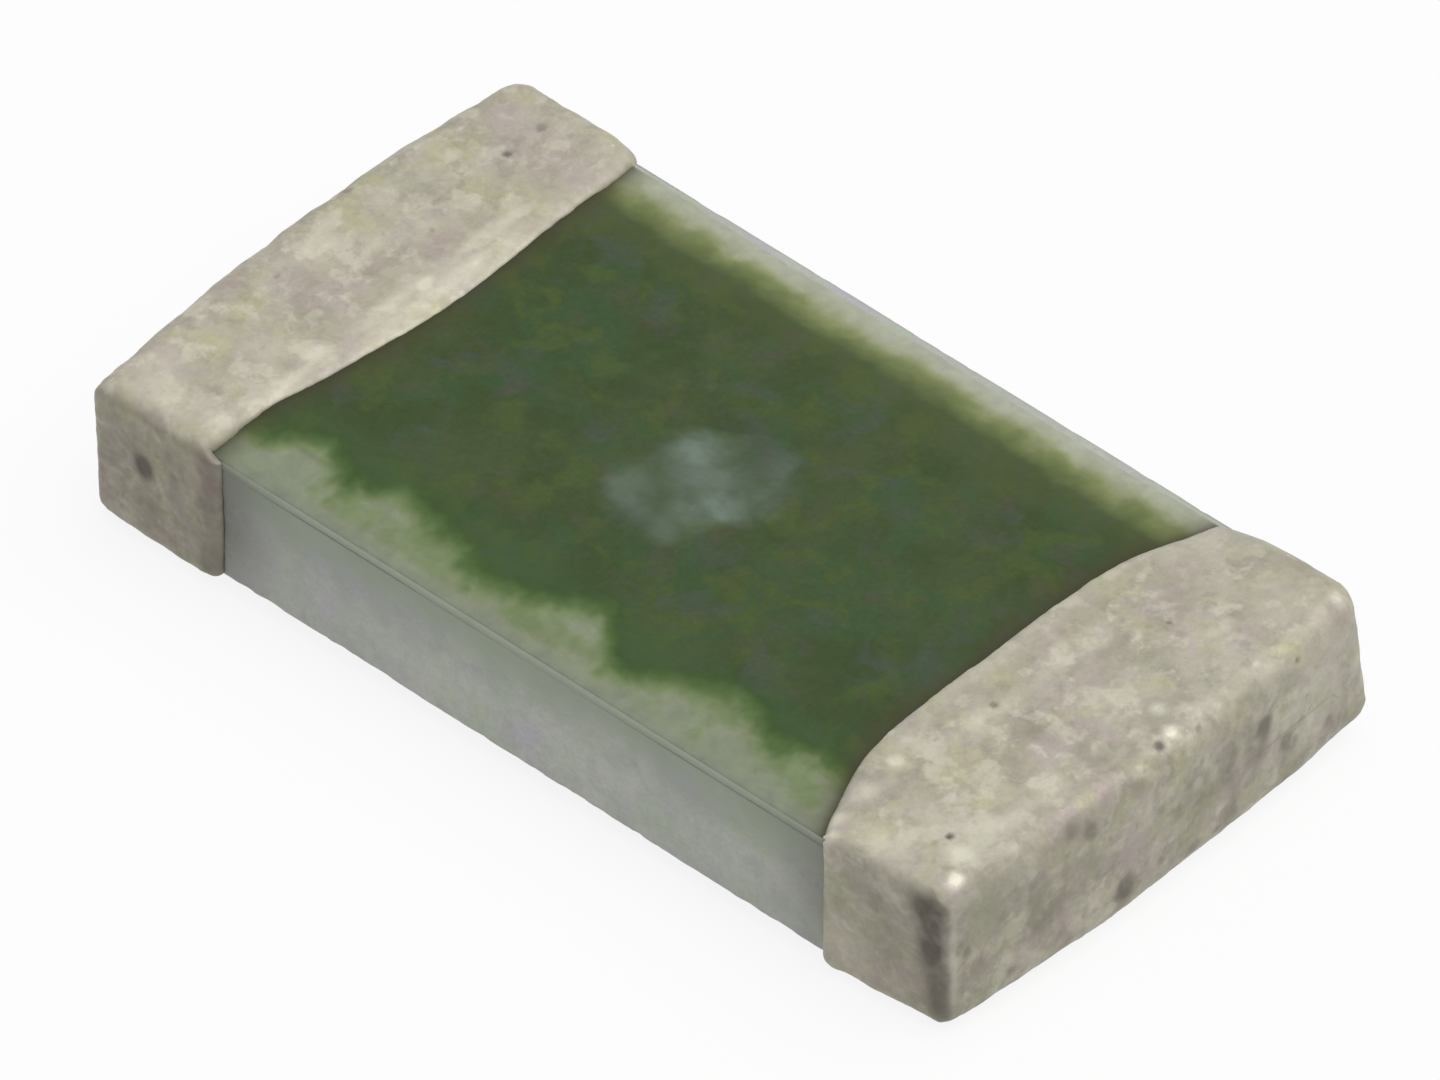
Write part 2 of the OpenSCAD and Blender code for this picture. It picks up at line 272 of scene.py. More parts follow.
def tinFinish():
    # Dull tin: warm grey with pale, pinkish and greenish clouds, soft speckle, dark pits and brown stains,
    # with painted shade on its sides, edges and rim noses and painted highlights on its rims, corners and in
    # glints
    s = Shading("matteTin", tinLook["metallic"], 1.5, tinLook["specular"])
    colour = s.mix(s.spread(s.noise(0.32, 3, 0.5, 0.2, 1), 0.40, 0.60), *tinLook["base"])
    colour = s.clouds(colour, tinLook["clouds"], 4, 0.58, 0.2)
    colour = s.clouds(colour, tinLook["uprightClouds"], 4, 0.58, 0.2, s.attribute("upright"))
    ragged = s.spread(s.noise(0.05, 4, 0.6, 0.3, 18), 0.35, 0.60, 0.35, 1.0)
    for key in ("pink", "green"):
        colour = s.mix(s.times(s.attribute(key), ragged), colour, tinLook[key])
    speckle = s.noise(0.028, 4, 0.6, 0.1, 5)
    grain = s.noise(0.009, 2, 0.5, 0.0, 6)
    colour = s.scaled(colour, s.spread(speckle, 0.30, 0.70, 0.93, 1.06))
    colour = s.scaled(colour, s.spread(grain, 0.25, 0.75, 0.975, 1.02))
    # dark stains and spots, and painted shade: the dark band on the left rim's nose
    stainAndShade = s.times(s.attribute("stainAndShade"), s.spread(speckle, 0.2, 0.6, 0.8, 1.0))
    colour = s.mix(stainAndShade, colour, tinLook["stainAndShade"])
    # dirt, and painted shade on the upright faces, the near rounded edge, the rims' feet and the end faces
    dirtAndShade = s.times(s.attribute("dirtAndShade"), s.spread(s.noise(0.06, 4, 0.6, 0.3, 7), 0.3, 0.7, 0.45, 1.0))
    colour = s.mix(dirtAndShade, colour, tinLook["dirtAndShade"])
    pits = s.spread(s.cells(0.085, 2), 0.05, 0.14, 1, 0)
    pits = s.times(pits, s.spread(s.noise(0.11, 2, 0.5, 0, 8), 0.55, 0.62))
    colour = s.mix(s.times(pits, 0.6), colour, tinLook["pit"])
    # painted highlights: scattered glints, and rubbed bands and patches that carry a painted highlight as
    # well
    glint = s.spread(s.cells(0.07, 9), 0.04, 0.12, 1, 0)
    glint = s.times(glint, s.spread(s.noise(0.14, 2, 0.5, 0, 10), 0.56, 0.64))
    worn = s.spread(s.noise(0.045, 4, 0.6, 0.3, 11), 0.30, 0.60, 0.45, 1.0)
    rubAndHighlight = s.times(s.attribute("rubAndHighlight"), worn)
    bright = s.math("MAXIMUM", s.times(glint, 0.8), s.times(rubAndHighlight, 0.95))
    colour = s.mix(bright, colour, tinLook["wearAndHighlight"])
    roughness = s.spread(speckle, 0.25, 0.75, *tinLook["roughness"])
    roughness = s.math("SUBTRACT", roughness, s.times(bright, tinLook["polish"]))
    height = s.math("ADD", speckle, s.times(grain, 0.35))
    height = s.math("SUBTRACT", height, s.times(pits, 1.2))
    return s.finish(colour, roughness, s.bump(height, tinLook["relief"]))


aluminaLook = dict(
    base=((0.438, 0.453, 0.412), (0.482, 0.497, 0.444)),
    clouds=[(0.26, 22, 0.50, 0.64, 0.8, (0.442, 0.422, 0.470)),         # lilac and green
            (0.22, 23, 0.50, 0.64, 0.8, (0.415, 0.472, 0.368))],
    fineClouds=[(0.08, 26, 0.48, 0.64, 0.7, (0.400, 0.410, 0.378))],
    filmTintAndShade=(0.300, 0.348, 0.264), castShare=0.90,         # green tint of the coat's film with painted shade, towards the coat
    paintedFloorLightGain=0.14,                                       # how much paler it is painted towards the bottom, as painted light from the floor
    glazed=(0.214, 0.238, 0.175),                       # under the coat's film
    gap=(0.195, 0.200, 0.172),                          # painted shade beside the metal
    broken=(0.37, 0.37, 0.38), brokenShare=0.25,
    specular=0.3, roughness=(0.60, 0.72), relief=0.0014,
)


def ceramicFinish():
    # Unglazed alumina: smooth cool grey with faint lilac and green clouds and a fine sintered grain. Its
    # sides take a green tint from the coat's film and a painted shade towards the top, and are painted paler
    # towards the bottom, as painted light from the floor.
    s = Shading("alumina", 0.0, 1.6, aluminaLook["specular"])
    colour = s.mix(s.spread(s.noise(0.42, 3, 0.5, 0.3, 21), 0.38, 0.62), *aluminaLook["base"])
    colour = s.clouds(colour, aluminaLook["clouds"], 3, 0.5, 0.3)
    colour = s.clouds(colour, aluminaLook["fineClouds"], 4, 0.6, 0.2)
    grain = s.noise(0.010, 3, 0.6, 0, 24)
    colour = s.scaled(colour, s.spread(grain, 0.25, 0.75, 0.93, 1.06))
    colour = s.mix(s.times(s.attribute("filmTintAndShade"), aluminaLook["castShare"]), colour, aluminaLook["filmTintAndShade"])
    colour = s.scaled(colour, s.math("ADD", 1.0, s.times(s.attribute("paintedFloorLight"), aluminaLook["paintedFloorLightGain"])))
    for key in ("glazed", "gap"):
        colour = s.mix(s.attribute(key), colour, aluminaLook[key])
    crumbs = s.times(s.attribute("broken"), s.spread(s.noise(0.03, 4, 0.65, 0.3, 25), 0.4, 0.7))
    colour = s.mix(s.times(crumbs, aluminaLook["brokenShare"]), colour, aluminaLook["broken"])
    height = s.math("ADD", grain, s.times(crumbs, 1.4))
    roughness = s.spread(grain, 0.3, 0.7, *aluminaLook["roughness"])
    return s.finish(colour, roughness, s.bump(height, aluminaLook["relief"]))


coatLook = dict(
    base=((0.033, 0.057, 0.013), (0.050, 0.073, 0.023)),
    clouds=[(0.19, 42, 0.48, 0.63, 0.60, (0.034, 0.078, 0.026)),        # greener, olive, greyer, browner
            (0.12, 43, 0.50, 0.63, 0.60, (0.062, 0.090, 0.018)),
            (0.14, 44, 0.52, 0.66, 0.60, (0.056, 0.074, 0.052)),
            (0.10, 50, 0.54, 0.66, 0.50, (0.060, 0.066, 0.038))],
    # tones from the thinnest film to the full coat, at these shares of full thickness, near and far
    thickness=(0.0, 0.16, 0.36, 0.60, 0.84, 1.0),
    nearTones=((0.214, 0.238, 0.175), (0.234, 0.265, 0.178), (0.170, 0.222, 0.100),
               (0.088, 0.142, 0.044), (0.046, 0.092, 0.020), (0.038, 0.080, 0.018)),
    farTones=((0.405, 0.424, 0.335), (0.305, 0.328, 0.195), (0.192, 0.224, 0.090),
              (0.120, 0.152, 0.050), (0.066, 0.094, 0.028), (0.054, 0.076, 0.022)),
    # casts of the full coat, from the first to the second place across the width
    casts=((-0.42, -0.60, (0.036, 0.086, 0.024)), (0.42, 0.62, (0.066, 0.088, 0.026))), castShare=0.6,
    shade=(0.052, 0.045, 0.018), shadeShare=0.55,       # painted shade beside the metal rims
    gap=(0.032, 0.028, 0.013), gapShare=0.50,           # and darker painted shade in the crease itself
    specular=0.2, roughness=(0.44, 0.56), relief=0.0040,
)


def coatColour(s):
    # Colour of the full coat: dark olive with greener, browner and greyer clouds
    colour = s.mix(s.spread(s.noise(0.30, 4, 0.55, 0.4, 41), 0.40, 0.62), *coatLook["base"])
    colour = s.clouds(colour, coatLook["clouds"], 4, 0.5, 0.5)
    return s.scaled(colour, s.spread(s.noise(0.018, 4, 0.65, 0.3, 45), 0.25, 0.75, 0.88, 1.12))


def coatBump(s):
    # Soft orange peel with a finer grain of filler on it
    filler = s.times(s.noise(0.016, 3, 0.6, 0, 47), 0.22)
    return s.bump(s.math("ADD", s.noise(0.09, 2, 0.5, 0, 46), filler), coatLook["relief"])


def satin(s, low, high):
    # Roughness of the coat and the print, in soft clouds between the two values
    return s.spread(s.noise(0.05, 3, 0.6, 0, 49), 0.3, 0.7, low, high)


def coatFinish():
    # The coat is dark where it is full, turns a clearer green as it thins, and ends as a pale glassy film
    s = Shading("greenCoat", 0.0, 1.5, coatLook["specular"])
    film = s.attribute("film")
    axes = s.add("ShaderNodeSeparateXYZ")
    s.feed(axes.inputs[0], s.place)
    across = axes.outputs["Y"]
    tones = []
    for side in ("nearTones", "farTones"):
        ramp = s.add("ShaderNodeValToRGB")
        s.feed(ramp.inputs["Fac"], film)
        stops = ramp.color_ramp.elements
        for at in coatLook["thickness"][1:-1]:
            stops.new(at)
        for stop, tone in zip(stops, coatLook[side]):
            stop.color = (*tone, 1)
        tones.append(ramp.outputs["Color"])
    colour = s.mix(s.spread(across, -0.3 * mm, 0.3 * mm), *tones)
    colour = s.scaled(colour, s.spread(s.noise(0.055, 4, 0.6, 0.5, 48), 0.25, 0.75, 0.90, 1.12))
    colour = s.mix(s.spread(film, 0.80, 1.0), colour, coatColour(s))
    # towards the near edge the coat is a clearer green, towards the far one it is yellower
    full = s.spread(film, 0.85, 1.0)
    for start, end, tone in coatLook["casts"]:
        share = s.spread(across, start * mm, end * mm, 0, coatLook["castShare"])
        colour = s.mix(s.times(share, full), colour, tone)
    # along the metal rims a brown painted shade, nearly black in the crease itself
    for key in ("shade", "gap"):
        colour = s.mix(s.times(s.attribute(key), coatLook[key + "Share"]), colour, coatLook[key])
    return s.finish(colour, satin(s, *coatLook["roughness"]), coatBump(s))


printLook = dict(tone=(0.192, 0.246, 0.208), roughness=(0.42, 0.56))


def printFinish():
    # What is left of a worn pale print: thin bluish clouds that fade into the coat at their rim
    s = Shading("wornPrint", 0.0, 1.5, coatLook["specular"])
    wear = s.spread(s.noise(0.16, 3, 0.55, 0.5, 61), 0.34, 0.64, 0.50, 1.05)
    fine = s.spread(s.noise(0.025, 4, 0.65, 0.3, 62), 0.25, 0.75, 0.80, 1.0)
    share = s.times(s.times(s.attribute("ink"), wear), fine)
    colour = s.mix(share, coatColour(s), printLook["tone"])
    return s.finish(colour, satin(s, *printLook["roughness"]), coatBump(s))


def hiddenFinish(name, tones, metallic, rough, size, seed):
    # Finish of a layer inside the chip: two close tones in fine clouds, with a printed or fired grain
    s = Shading(name, metallic)
    colour = s.mix(s.spread(s.noise(size * 6, 3, 0.5, 0.4, seed), 0.35, 0.65), *tones)
    grain = s.noise(size, 4, 0.6, 0.2, seed + 1)
    colour = s.scaled(colour, s.spread(grain, 0.25, 0.75, 0.90, 1.08))
    return s.finish(colour, s.spread(grain, 0.3, 0.7, rough - 0.06, rough + 0.06), s.bump(grain, size * 0.12))


matteTin = tinFinish()
alumina = ceramicFinish()
greenCoat = coatFinish()
wornPrint = printFinish()
nickelLayer = hiddenFinish("nickelLayer", ((0.46, 0.44, 0.40), (0.53, 0.505, 0.46)), 1.0, 0.36, 0.012, 71)
silverLayer = hiddenFinish("silverLayer", ((0.62, 0.61, 0.58), (0.70, 0.69, 0.66)), 1.0, 0.50, 0.016, 73)
printedSilver = hiddenFinish("printedSilver", ((0.64, 0.63, 0.60), (0.72, 0.71, 0.68)), 1.0, 0.46, 0.014, 75)
linkMetal = hiddenFinish("linkMetal", ((0.62, 0.47, 0.24), (0.74, 0.57, 0.32)), 1.0, 0.40, 0.012, 77)
clearGlass = hiddenFinish("clearGlass", ((0.58, 0.67, 0.64), (0.66, 0.74, 0.71)), 0.0, 0.22, 0.020, 79)
print("materials ready")


# Values of the two metal ends, as distances from the chip's middle or as sizes, in millimetres

leftEnd = dict(
    side=-1, seed=100,
    nose=0.066, farSlope=0.05,                  # length of the rim's slope, and how much more at the far side
    # the rim's foot on the top face: places across the width, and how far along the length it lies there
    rimY=[-0.83, -0.77, -0.70, -0.55, -0.40, -0.20, 0.00, 0.20, 0.40, 0.60, 0.74, 0.83],
    rimX=[1.086, 1.093, 1.092, 1.076, 1.052, 1.012, 1.000, 1.000, 1.008, 1.018, 1.020, 1.024],
    sideRim=1.044,           # and on the upright faces
    narrow=(0.008, 0.006),   # how much narrower the metal is than the chip's full width, near and far
    taper=(0.006, 0.004),    # and how much more it draws in towards the end
    endBow=(0.049, 0.052),   # how far the end face is bowed back at its near and far sides
    upright=(0.038, 0.080),  # rounding of the near and far upright corners
    lean=(0.0, 0.0),         # how much more rounded those are at the top than half-way up
    endTop=0.090,            # rounding of the end face into the top
    endBottom=(0.080, 0.080),                   # and into the bottom, at the near side and elsewhere
    topEdge=(0.045, 0.068), bottomEdge=(0.074, 0.065),  # rounding of the near and far long edges
    # dark spots as x, y, z, radius, depth of the dent, share
    spots=[(-1.276, 0.545, 0.50, 0.016, 0.0025, 0.8), (-1.308, -0.818, 0.295, 0.040, 0.0040, 1.15),
           (-1.22, 0.20, 0.50, 0.009, 0.0015, 0.5), (-1.40, -0.20, 0.50, 0.009, 0.0015, 0.5),
           (-1.27, -0.81, 0.17, 0.030, 0.0010, 0.35)],
    # places as x, y, z, reach in each direction, share: soiled ones, dirt with painted shade on the near
    # side, its rounded top edge and at the rim; dark ones, painted shade on the rim's nose; rubbed ones, wear
    # with painted highlights; pinkish and greenish ones
    dirtAndShade=[(-1.082, -0.81, 0.25, 0.050, 0.08, 0.50, 0.95), (-1.28, -0.81, 0.22, 0.40, 0.06, 0.34, 0.52),
          (-1.25, -0.635, 0.50, 0.045, 0.016, 0.04, 0.40), (-1.05, 0.70, 0.49, 0.045, 0.12, 0.05, 0.40),
          (-1.100, -0.68, 0.49, 0.035, 0.14, 0.05, 0.42), (-1.31, 0.30, 0.50, 0.07, 0.16, 0.04, 0.20),
          (-1.28, -0.826, 0.480, 0.40, 0.034, 0.040, 0.72)],
    # painted shade on the rim's nose, on the near side
    dark=[(-1.068, -0.81, 0.34, 0.032, 0.05, 0.24, 0.42), (-1.085, -0.815, 0.478, 0.050, 0.045, 0.04, 0.50),
          (-1.085, -0.81, 0.20, 0.020, 0.05, 0.18, 0.25)],
    wearAndHighlight=[(-1.050, 0.05, 0.475, 0.035, 0.30, 0.05, 1.2), (-1.105, -0.46, 0.495, 0.028, 0.12, 0.05, 0.75),
            (-1.120, -0.35, 0.50, 0.030, 0.05, 0.04, 1.2), (-1.090, 0.035, 0.50, 0.022, 0.035, 0.04, 1.6),
            (-1.10, 0.28, 0.50, 0.030, 0.16, 0.04, 0.7), (-1.10, -0.12, 0.50, 0.030, 0.12, 0.04, 0.8),
            (-1.32, -0.72, 0.50, 0.14, 0.06, 0.04, 0.55), (-1.14, -0.70, 0.50, 0.06, 0.06, 0.04, 0.55),
            (-1.36, -0.08, 0.50, 0.05, 0.05, 0.04, 0.3), (-1.30, 0.20, 0.50, 0.09, 0.03, 0.04, 0.2),
            (-1.24, -0.42, 0.50, 0.10, 0.07, 0.04, 0.42), (-1.42, -0.12, 0.50, 0.06, 0.09, 0.04, 0.38),
            (-1.30, 0.00, 0.50, 0.05, 0.05, 0.04, 0.35), (-1.10, -0.02, 0.50, 0.030, 0.09, 0.04, 0.70),
            (-1.40, -0.68, 0.50, 0.06, 0.10, 0.04, 0.35)],
    pink=[(-1.16, 0.18, 0.50, 0.045, 0.060, 0.05, 0.85), (-1.37, -0.73, 0.49, 0.035, 0.035, 0.05, 0.60),
          (-1.47, -0.30, 0.48, 0.035, 0.070, 0.06, 0.70), (-1.34, -0.16, 0.50, 0.035, 0.050, 0.05, 0.55),
          (-1.28, 0.62, 0.50, 0.120, 0.110, 0.05, 0.35), (-1.07, -0.81, 0.44, 0.030, 0.04, 0.10, 0.80),
          (-1.48, -0.79, 0.14, 0.050, 0.05, 0.12, 0.60), (-1.26, 0.02, 0.50, 0.060, 0.060, 0.05, 0.30)],
    green=[(-1.28, -0.57, 0.50, 0.050, 0.040, 0.05, 0.75), (-1.41, 0.29, 0.49, 0.060, 0.060, 0.05, 0.65),
           (-1.40, 0.14, 0.50, 0.060, 0.040, 0.05, 0.35), (-1.22, -0.26, 0.50, 0.050, 0.050, 0.05, 0.45),
           (-1.13, 0.45, 0.50, 0.060, 0.060, 0.05, 0.30), (-1.31, -0.42, 0.50, 0.050, 0.050, 0.05, 0.35)],
)
rightEnd = dict(             # the same values for the right end
    side=1, seed=200, nose=0.066, farSlope=0.20,
    rimY=[-0.83, -0.77, -0.70, -0.60, -0.50, -0.30, -0.10, 0.10, 0.30, 0.45, 0.57, 0.66, 0.74, 0.83],
    rimX=[1.090, 1.066, 1.020, 0.984, 0.962, 0.941, 0.936, 0.938, 0.945, 0.958, 0.981, 1.012, 1.044, 1.062],
    sideRim=1.075, narrow=(0.024, 0.004), taper=(0.031, 0.002), endBow=(0.064, 0.028),
    upright=(0.034, 0.080), lean=(0.0, 0.034), endTop=0.085, endBottom=(0.085, 0.122),
    topEdge=(0.036, 0.080), bottomEdge=(0.070, 0.090),
    spots=[(1.080, -0.152, 0.50, 0.015, 0.0040, 1.0), (1.327, -0.588, 0.50, 0.014, 0.0035, 1.0),
           (1.498, 0.022, 0.49, 0.020, 0.0030, 0.9), (1.545, 0.375, 0.33, 0.036, 0.0022, 0.70),
           (1.545, -0.28, 0.42, 0.028, 0.0015, 0.45), (1.55, -0.16, 0.14, 0.040, 0.0020, 0.75),
           (1.523, 0.150, 0.48, 0.012, 0.0015, 0.5), (1.545, 0.465, 0.21, 0.030, 0.0015, 0.35),
           (1.55, 0.10, 0.10, 0.026, 0.0015, 0.50), (1.53, 0.52, 0.46, 0.009, 0.0015, 0.7),
           (1.535, -0.34, 0.46, 0.026, 0.0015, 0.45)],
    # soiled places: dirt, and painted shade on the near side, at the rim's foot and on the near part of the
    # end face
    dirtAndShade=[(1.30, -0.80, 0.26, 0.30, 0.08, 0.30, 0.34), (1.50, -0.70, 0.28, 0.10, 0.16, 0.26, 0.42),
          (1.50, -0.52, 0.44, 0.06, 0.24, 0.07, 0.40), (1.55, 0.14, 0.23, 0.10, 0.11, 0.07, 0.50),
          (1.55, -0.38, 0.30, 0.10, 0.10, 0.09, 0.30), (1.055, -0.10, 0.50, 0.030, 0.045, 0.04, 0.30),
          (1.31, -0.08, 0.50, 0.030, 0.030, 0.04, 0.35), (1.425, -0.13, 0.50, 0.030, 0.030, 0.04, 0.35),
          (1.15, 0.48, 0.50, 0.035, 0.045, 0.04, 0.50), (1.225, -0.14, 0.50, 0.060, 0.040, 0.04, 0.28),
          (1.49, -0.14, 0.49, 0.040, 0.040, 0.04, 0.30), (1.50, 0.71, 0.47, 0.05, 0.05, 0.06, 0.35),
          (1.47, -0.62, 0.485, 0.040, 0.24, 0.04, 0.55), (1.010, 0.0, 0.485, 0.030, 0.50, 0.05, 0.24),
          (1.46, 0.00, 0.49, 0.035, 0.06, 0.04, 0.32), (1.20, 0.40, 0.50, 0.040, 0.06, 0.04, 0.36),
          (1.53, -0.12, 0.455, 0.05, 0.42, 0.045, 0.42), (1.27, -0.81, 0.45, 0.25, 0.05, 0.035, 0.42),
          (1.55, -0.30, 0.30, 0.10, 0.17, 0.09, 0.36), (1.53, -0.77, 0.33, 0.05, 0.05, 0.13, 0.42)],
    # dark places: a dark streak down the near upright corner, and a small patch at its top
    dark=[(1.423, -0.778, 0.415, 0.062, 0.040, 0.065, 1.5), (1.430, -0.775, 0.31, 0.042, 0.040, 0.11, 1.5),
          (1.448, -0.768, 0.17, 0.036, 0.040, 0.12, 1.2), (1.466, -0.760, 0.07, 0.035, 0.040, 0.05, 0.6),
          (1.440, -0.765, 0.485, 0.045, 0.018, 0.02, 0.6)],
    # rubbed places, which also paint highlights on the rim's near corner, on bright spots and beside the rim
    wearAndHighlight=[(1.060, -0.735, 0.485, 0.028, 0.035, 0.05, 1.3), (1.085, -0.785, 0.485, 0.030, 0.024, 0.05, 1.4),
            (1.040, -0.48, 0.50, 0.028, 0.022, 0.05, 1.2), (1.395, -0.62, 0.50, 0.036, 0.030, 0.05, 1.7),
            (1.445, -0.695, 0.495, 0.022, 0.022, 0.05, 1.8), (1.409, 0.115, 0.50, 0.020, 0.020, 0.05, 1.3),
            (1.487, 0.077, 0.49, 0.018, 0.018, 0.04, 2.0), (1.075, 0.12, 0.50, 0.024, 0.024, 0.05, 0.9),
            (1.38, -0.50, 0.50, 0.060, 0.070, 0.05, 0.55), (1.39, -0.28, 0.50, 0.045, 0.045, 0.05, 0.65),
            (1.23, -0.72, 0.50, 0.090, 0.045, 0.05, 0.60), (1.33, 0.42, 0.50, 0.050, 0.050, 0.05, 0.35),
            (1.00, -0.40, 0.49, 0.030, 0.10, 0.05, 0.4), (1.30, 0.04, 0.50, 0.05, 0.06, 0.05, 0.40),
            (1.484, -0.747, 0.27, 0.012, 0.014, 0.26, 0.50), (1.465, 0.74, 0.485, 0.022, 0.022, 0.04, 1.0),
            (1.05, -0.62, 0.49, 0.035, 0.05, 0.05, 0.7), (1.10, -0.20, 0.50, 0.040, 0.11, 0.04, 0.62),
            (1.11, 0.10, 0.50, 0.040, 0.14, 0.04, 0.42), (1.40, -0.41, 0.50, 0.045, 0.06, 0.04, 0.55),
            (1.36, 0.61, 0.50, 0.090, 0.08, 0.04, 0.38), (1.55, 0.62, 0.33, 0.06, 0.13, 0.12, 0.45),
            (1.15, -0.81, 0.15, 0.10, 0.05, 0.10, 0.42)],
    pink=[(1.27, 0.16, 0.50, 0.035, 0.030, 0.05, 0.60), (1.03, 0.16, 0.49, 0.035, 0.045, 0.05, 0.60),
          (1.11, 0.57, 0.50, 0.040, 0.040, 0.05, 0.50), (1.50, -0.19, 0.49, 0.040, 0.040, 0.05, 0.80),
          (1.50, -0.38, 0.48, 0.040, 0.050, 0.06, 0.80), (1.36, 0.48, 0.50, 0.040, 0.050, 0.05, 0.35),
          (1.49, 0.72, 0.46, 0.060, 0.060, 0.10, 0.55), (1.54, -0.38, 0.17, 0.05, 0.05, 0.10, 0.70),
          (1.25, -0.81, 0.10, 0.14, 0.05, 0.09, 0.60), (1.55, 0.30, 0.24, 0.05, 0.10, 0.06, 0.45),
          (1.20, -0.36, 0.50, 0.060, 0.040, 0.05, 0.25)],
    green=[(1.26, 0.24, 0.50, 0.045, 0.040, 0.05, 0.45), (1.22, 0.13, 0.50, 0.060, 0.040, 0.05, 0.35),
           (1.23, -0.27, 0.50, 0.050, 0.030, 0.05, 0.40), (1.43, -0.11, 0.50, 0.035, 0.035, 0.05, 0.45),
           (1.44, 0.24, 0.50, 0.030, 0.040, 0.05, 0.45), (1.53, 0.34, 0.48, 0.040, 0.060, 0.05, 0.50),
           (1.50, -0.62, 0.38, 0.060, 0.080, 0.10, 0.60), (1.28, -0.81, 0.30, 0.070, 0.05, 0.11, 0.75),
           (1.55, 0.14, 0.26, 0.05, 0.060, 0.05, 0.60), (1.55, 0.60, 0.30, 0.06, 0.06, 0.08, 0.45),
           (1.03, 0.45, 0.49, 0.040, 0.060, 0.05, 0.35), (1.52, -0.60, 0.46, 0.03, 0.04, 0.05, 0.5)],
)


bothEnds = dict(             # what the two ends share
    reach=0.42,              # way from the rim to where the full taper is reached
    step=0.16,               # share of that way in which the metal first narrows
    power=1.8,               # growth of the taper along the way
    rimDegree=6,             # of the curve through the rim's points
)


def drawnIn(x, y, end):
    # Share of the width that the metal loses at a distance x from the chip's middle: a smooth step just past
    # the rim, plus a power of the way to the end
    way = np.clip((x - end["sideRim"]) / bothEnds["reach"], 0, 1)
    near, far = y < 0, y >= 0
    loss = smoothStep(0, bothEnds["step"], way) * (near * end["narrow"][0] + far * end["narrow"][1])
    loss = loss + way ** bothEnds["power"] * (near * end["taper"][0] + far * end["taper"][1])
    return loss / (chip["width"] / 2)


def footAt(y, end):
    # Distance from the chip's middle to the foot of the rim: a polynomial fitted to its points
    return np.polyval(np.polyfit(end["rimY"], end["rimX"], bothEnds["rimDegree"]), y)


def rimGap(x, y, width):
    # 1 along the foot of either rim, falling off like a bell within that width
    left = np.exp(-((-x - footAt(y, leftEnd)) / width) ** 2)
    right = np.exp(-((x - footAt(y, rightEnd)) / width) ** 2)
    return np.maximum(left, right)


# Green coat: a printed film over the ceramic, between the two metal ends

coat = dict(
    crown=0.0300,            # height of the full coat above the ceramic, along the middle
    fall=0.0085,             # how much lower it is along the long edges
    shift=-0.04,             # its middle line
    nearEdge=-0.7855,        # outer end of the pale film on the near side
    farEdge=0.771,           # and on the far side
    farFull=0.632,           # middle of the step from full coat to film on the far side
    nearStep=0.150, farStep=0.165,              # width of that step
    nearWobble=0.085, farWobble=0.045,          # how far the step wanders
    nearFade=(-0.71, -0.770), farFade=(0.66, 0.74),             # where the film's clouds fade outwards
    film=(0.10, 0.24),       # the film's least share of full thickness, and how much its clouds add
    halfWidth=0.69,          # distance from the middle line at which the coat has fallen by the whole fall
    farWander=0.007,         # unevenness of the far edge
    nearSlope=0.010, farSlope=0.024,            # width of the film's outer slopes
    waves=((0.0016, 0.22, 21, 3), (0.0006, 0.045, 23, 2)),      # height, size, seed and layers of its waves
    least=0.0010,            # least thickness of the film
    cover=0.0115,            # and how much more it has over the electrodes
    electrodeX=(0.785, 0.812), electrodeY=(-0.625, -0.604),     # steps into the area over the electrodes
    sink=0.005,              # how deep its outer edges lie below the ceramic's surface
    tuck=0.055,              # reach under the metal, past the foot of each rim
    margin=(0.002, 0.009),   # how far the grid goes past the near edge, and how much wider it is in all
    gap=0.016, shade=0.055,  # reach of the painted shade in the crease and of the brown painted shade along the rims
    columns=300, rows=200, crowd=0.10,          # and how much closer the rows lie along the long edges
)
# Middle of the same step on the near side: places along the length, and how far across it lies
tongueX = [-1.10, -1.00, -0.94, -0.87, -0.80, -0.74, -0.68, -0.61, -0.55, -0.50, -0.44,
           -0.38, -0.32, -0.26, -0.18, -0.10, -0.04, 0.00, 0.05, 0.10, 0.16, 0.22,
           0.29, 0.36, 0.43, 0.50, 0.57, 0.64, 0.71, 0.78, 0.86, 0.94, 1.06]
tongueY = [-0.640, -0.640, -0.595, -0.562, -0.595, -0.665, -0.625, -0.555, -0.570, -0.603, -0.605,
           -0.590, -0.640, -0.665, -0.660, -0.645, -0.610, -0.585, -0.553, -0.555, -0.625, -0.682,
           -0.680, -0.635, -0.585, -0.560, -0.555, -0.570, -0.630, -0.635, -0.572, -0.580, -0.620]


def coatFilm(x, y):
    # Share of full thickness: 1 inside the wavy inner line, and outside it the film's own cloudy share, which
    # fades away towards the outer edges
    flat = np.stack([x, y, 0 * x], -1)
    wobble = layeredNoise(flat, 0.085, 5, 4, 0.6) - 0.5
    inner = np.interp(x, tongueX, tongueY)
    near = smoothStep(-0.5, 0.5, (y - inner - coat["nearWobble"] * wobble) / coat["nearStep"])
    past = y - coat["farFull"] - coat["farWobble"] * wobble
    far = 1 - smoothStep(-0.5, 0.5, past / coat["farStep"])
    outwards = np.where(y < 0, smoothStep(*coat["nearFade"], y), smoothStep(*coat["farFade"], y))
    clouds = smoothStep(0.3, 0.7, layeredNoise(flat, 0.09, 9, 4))
    thin = (coat["film"][0] + coat["film"][1] * clouds) * (1 - 0.9 * outwards)
    return thin + (1 - thin) * near * far


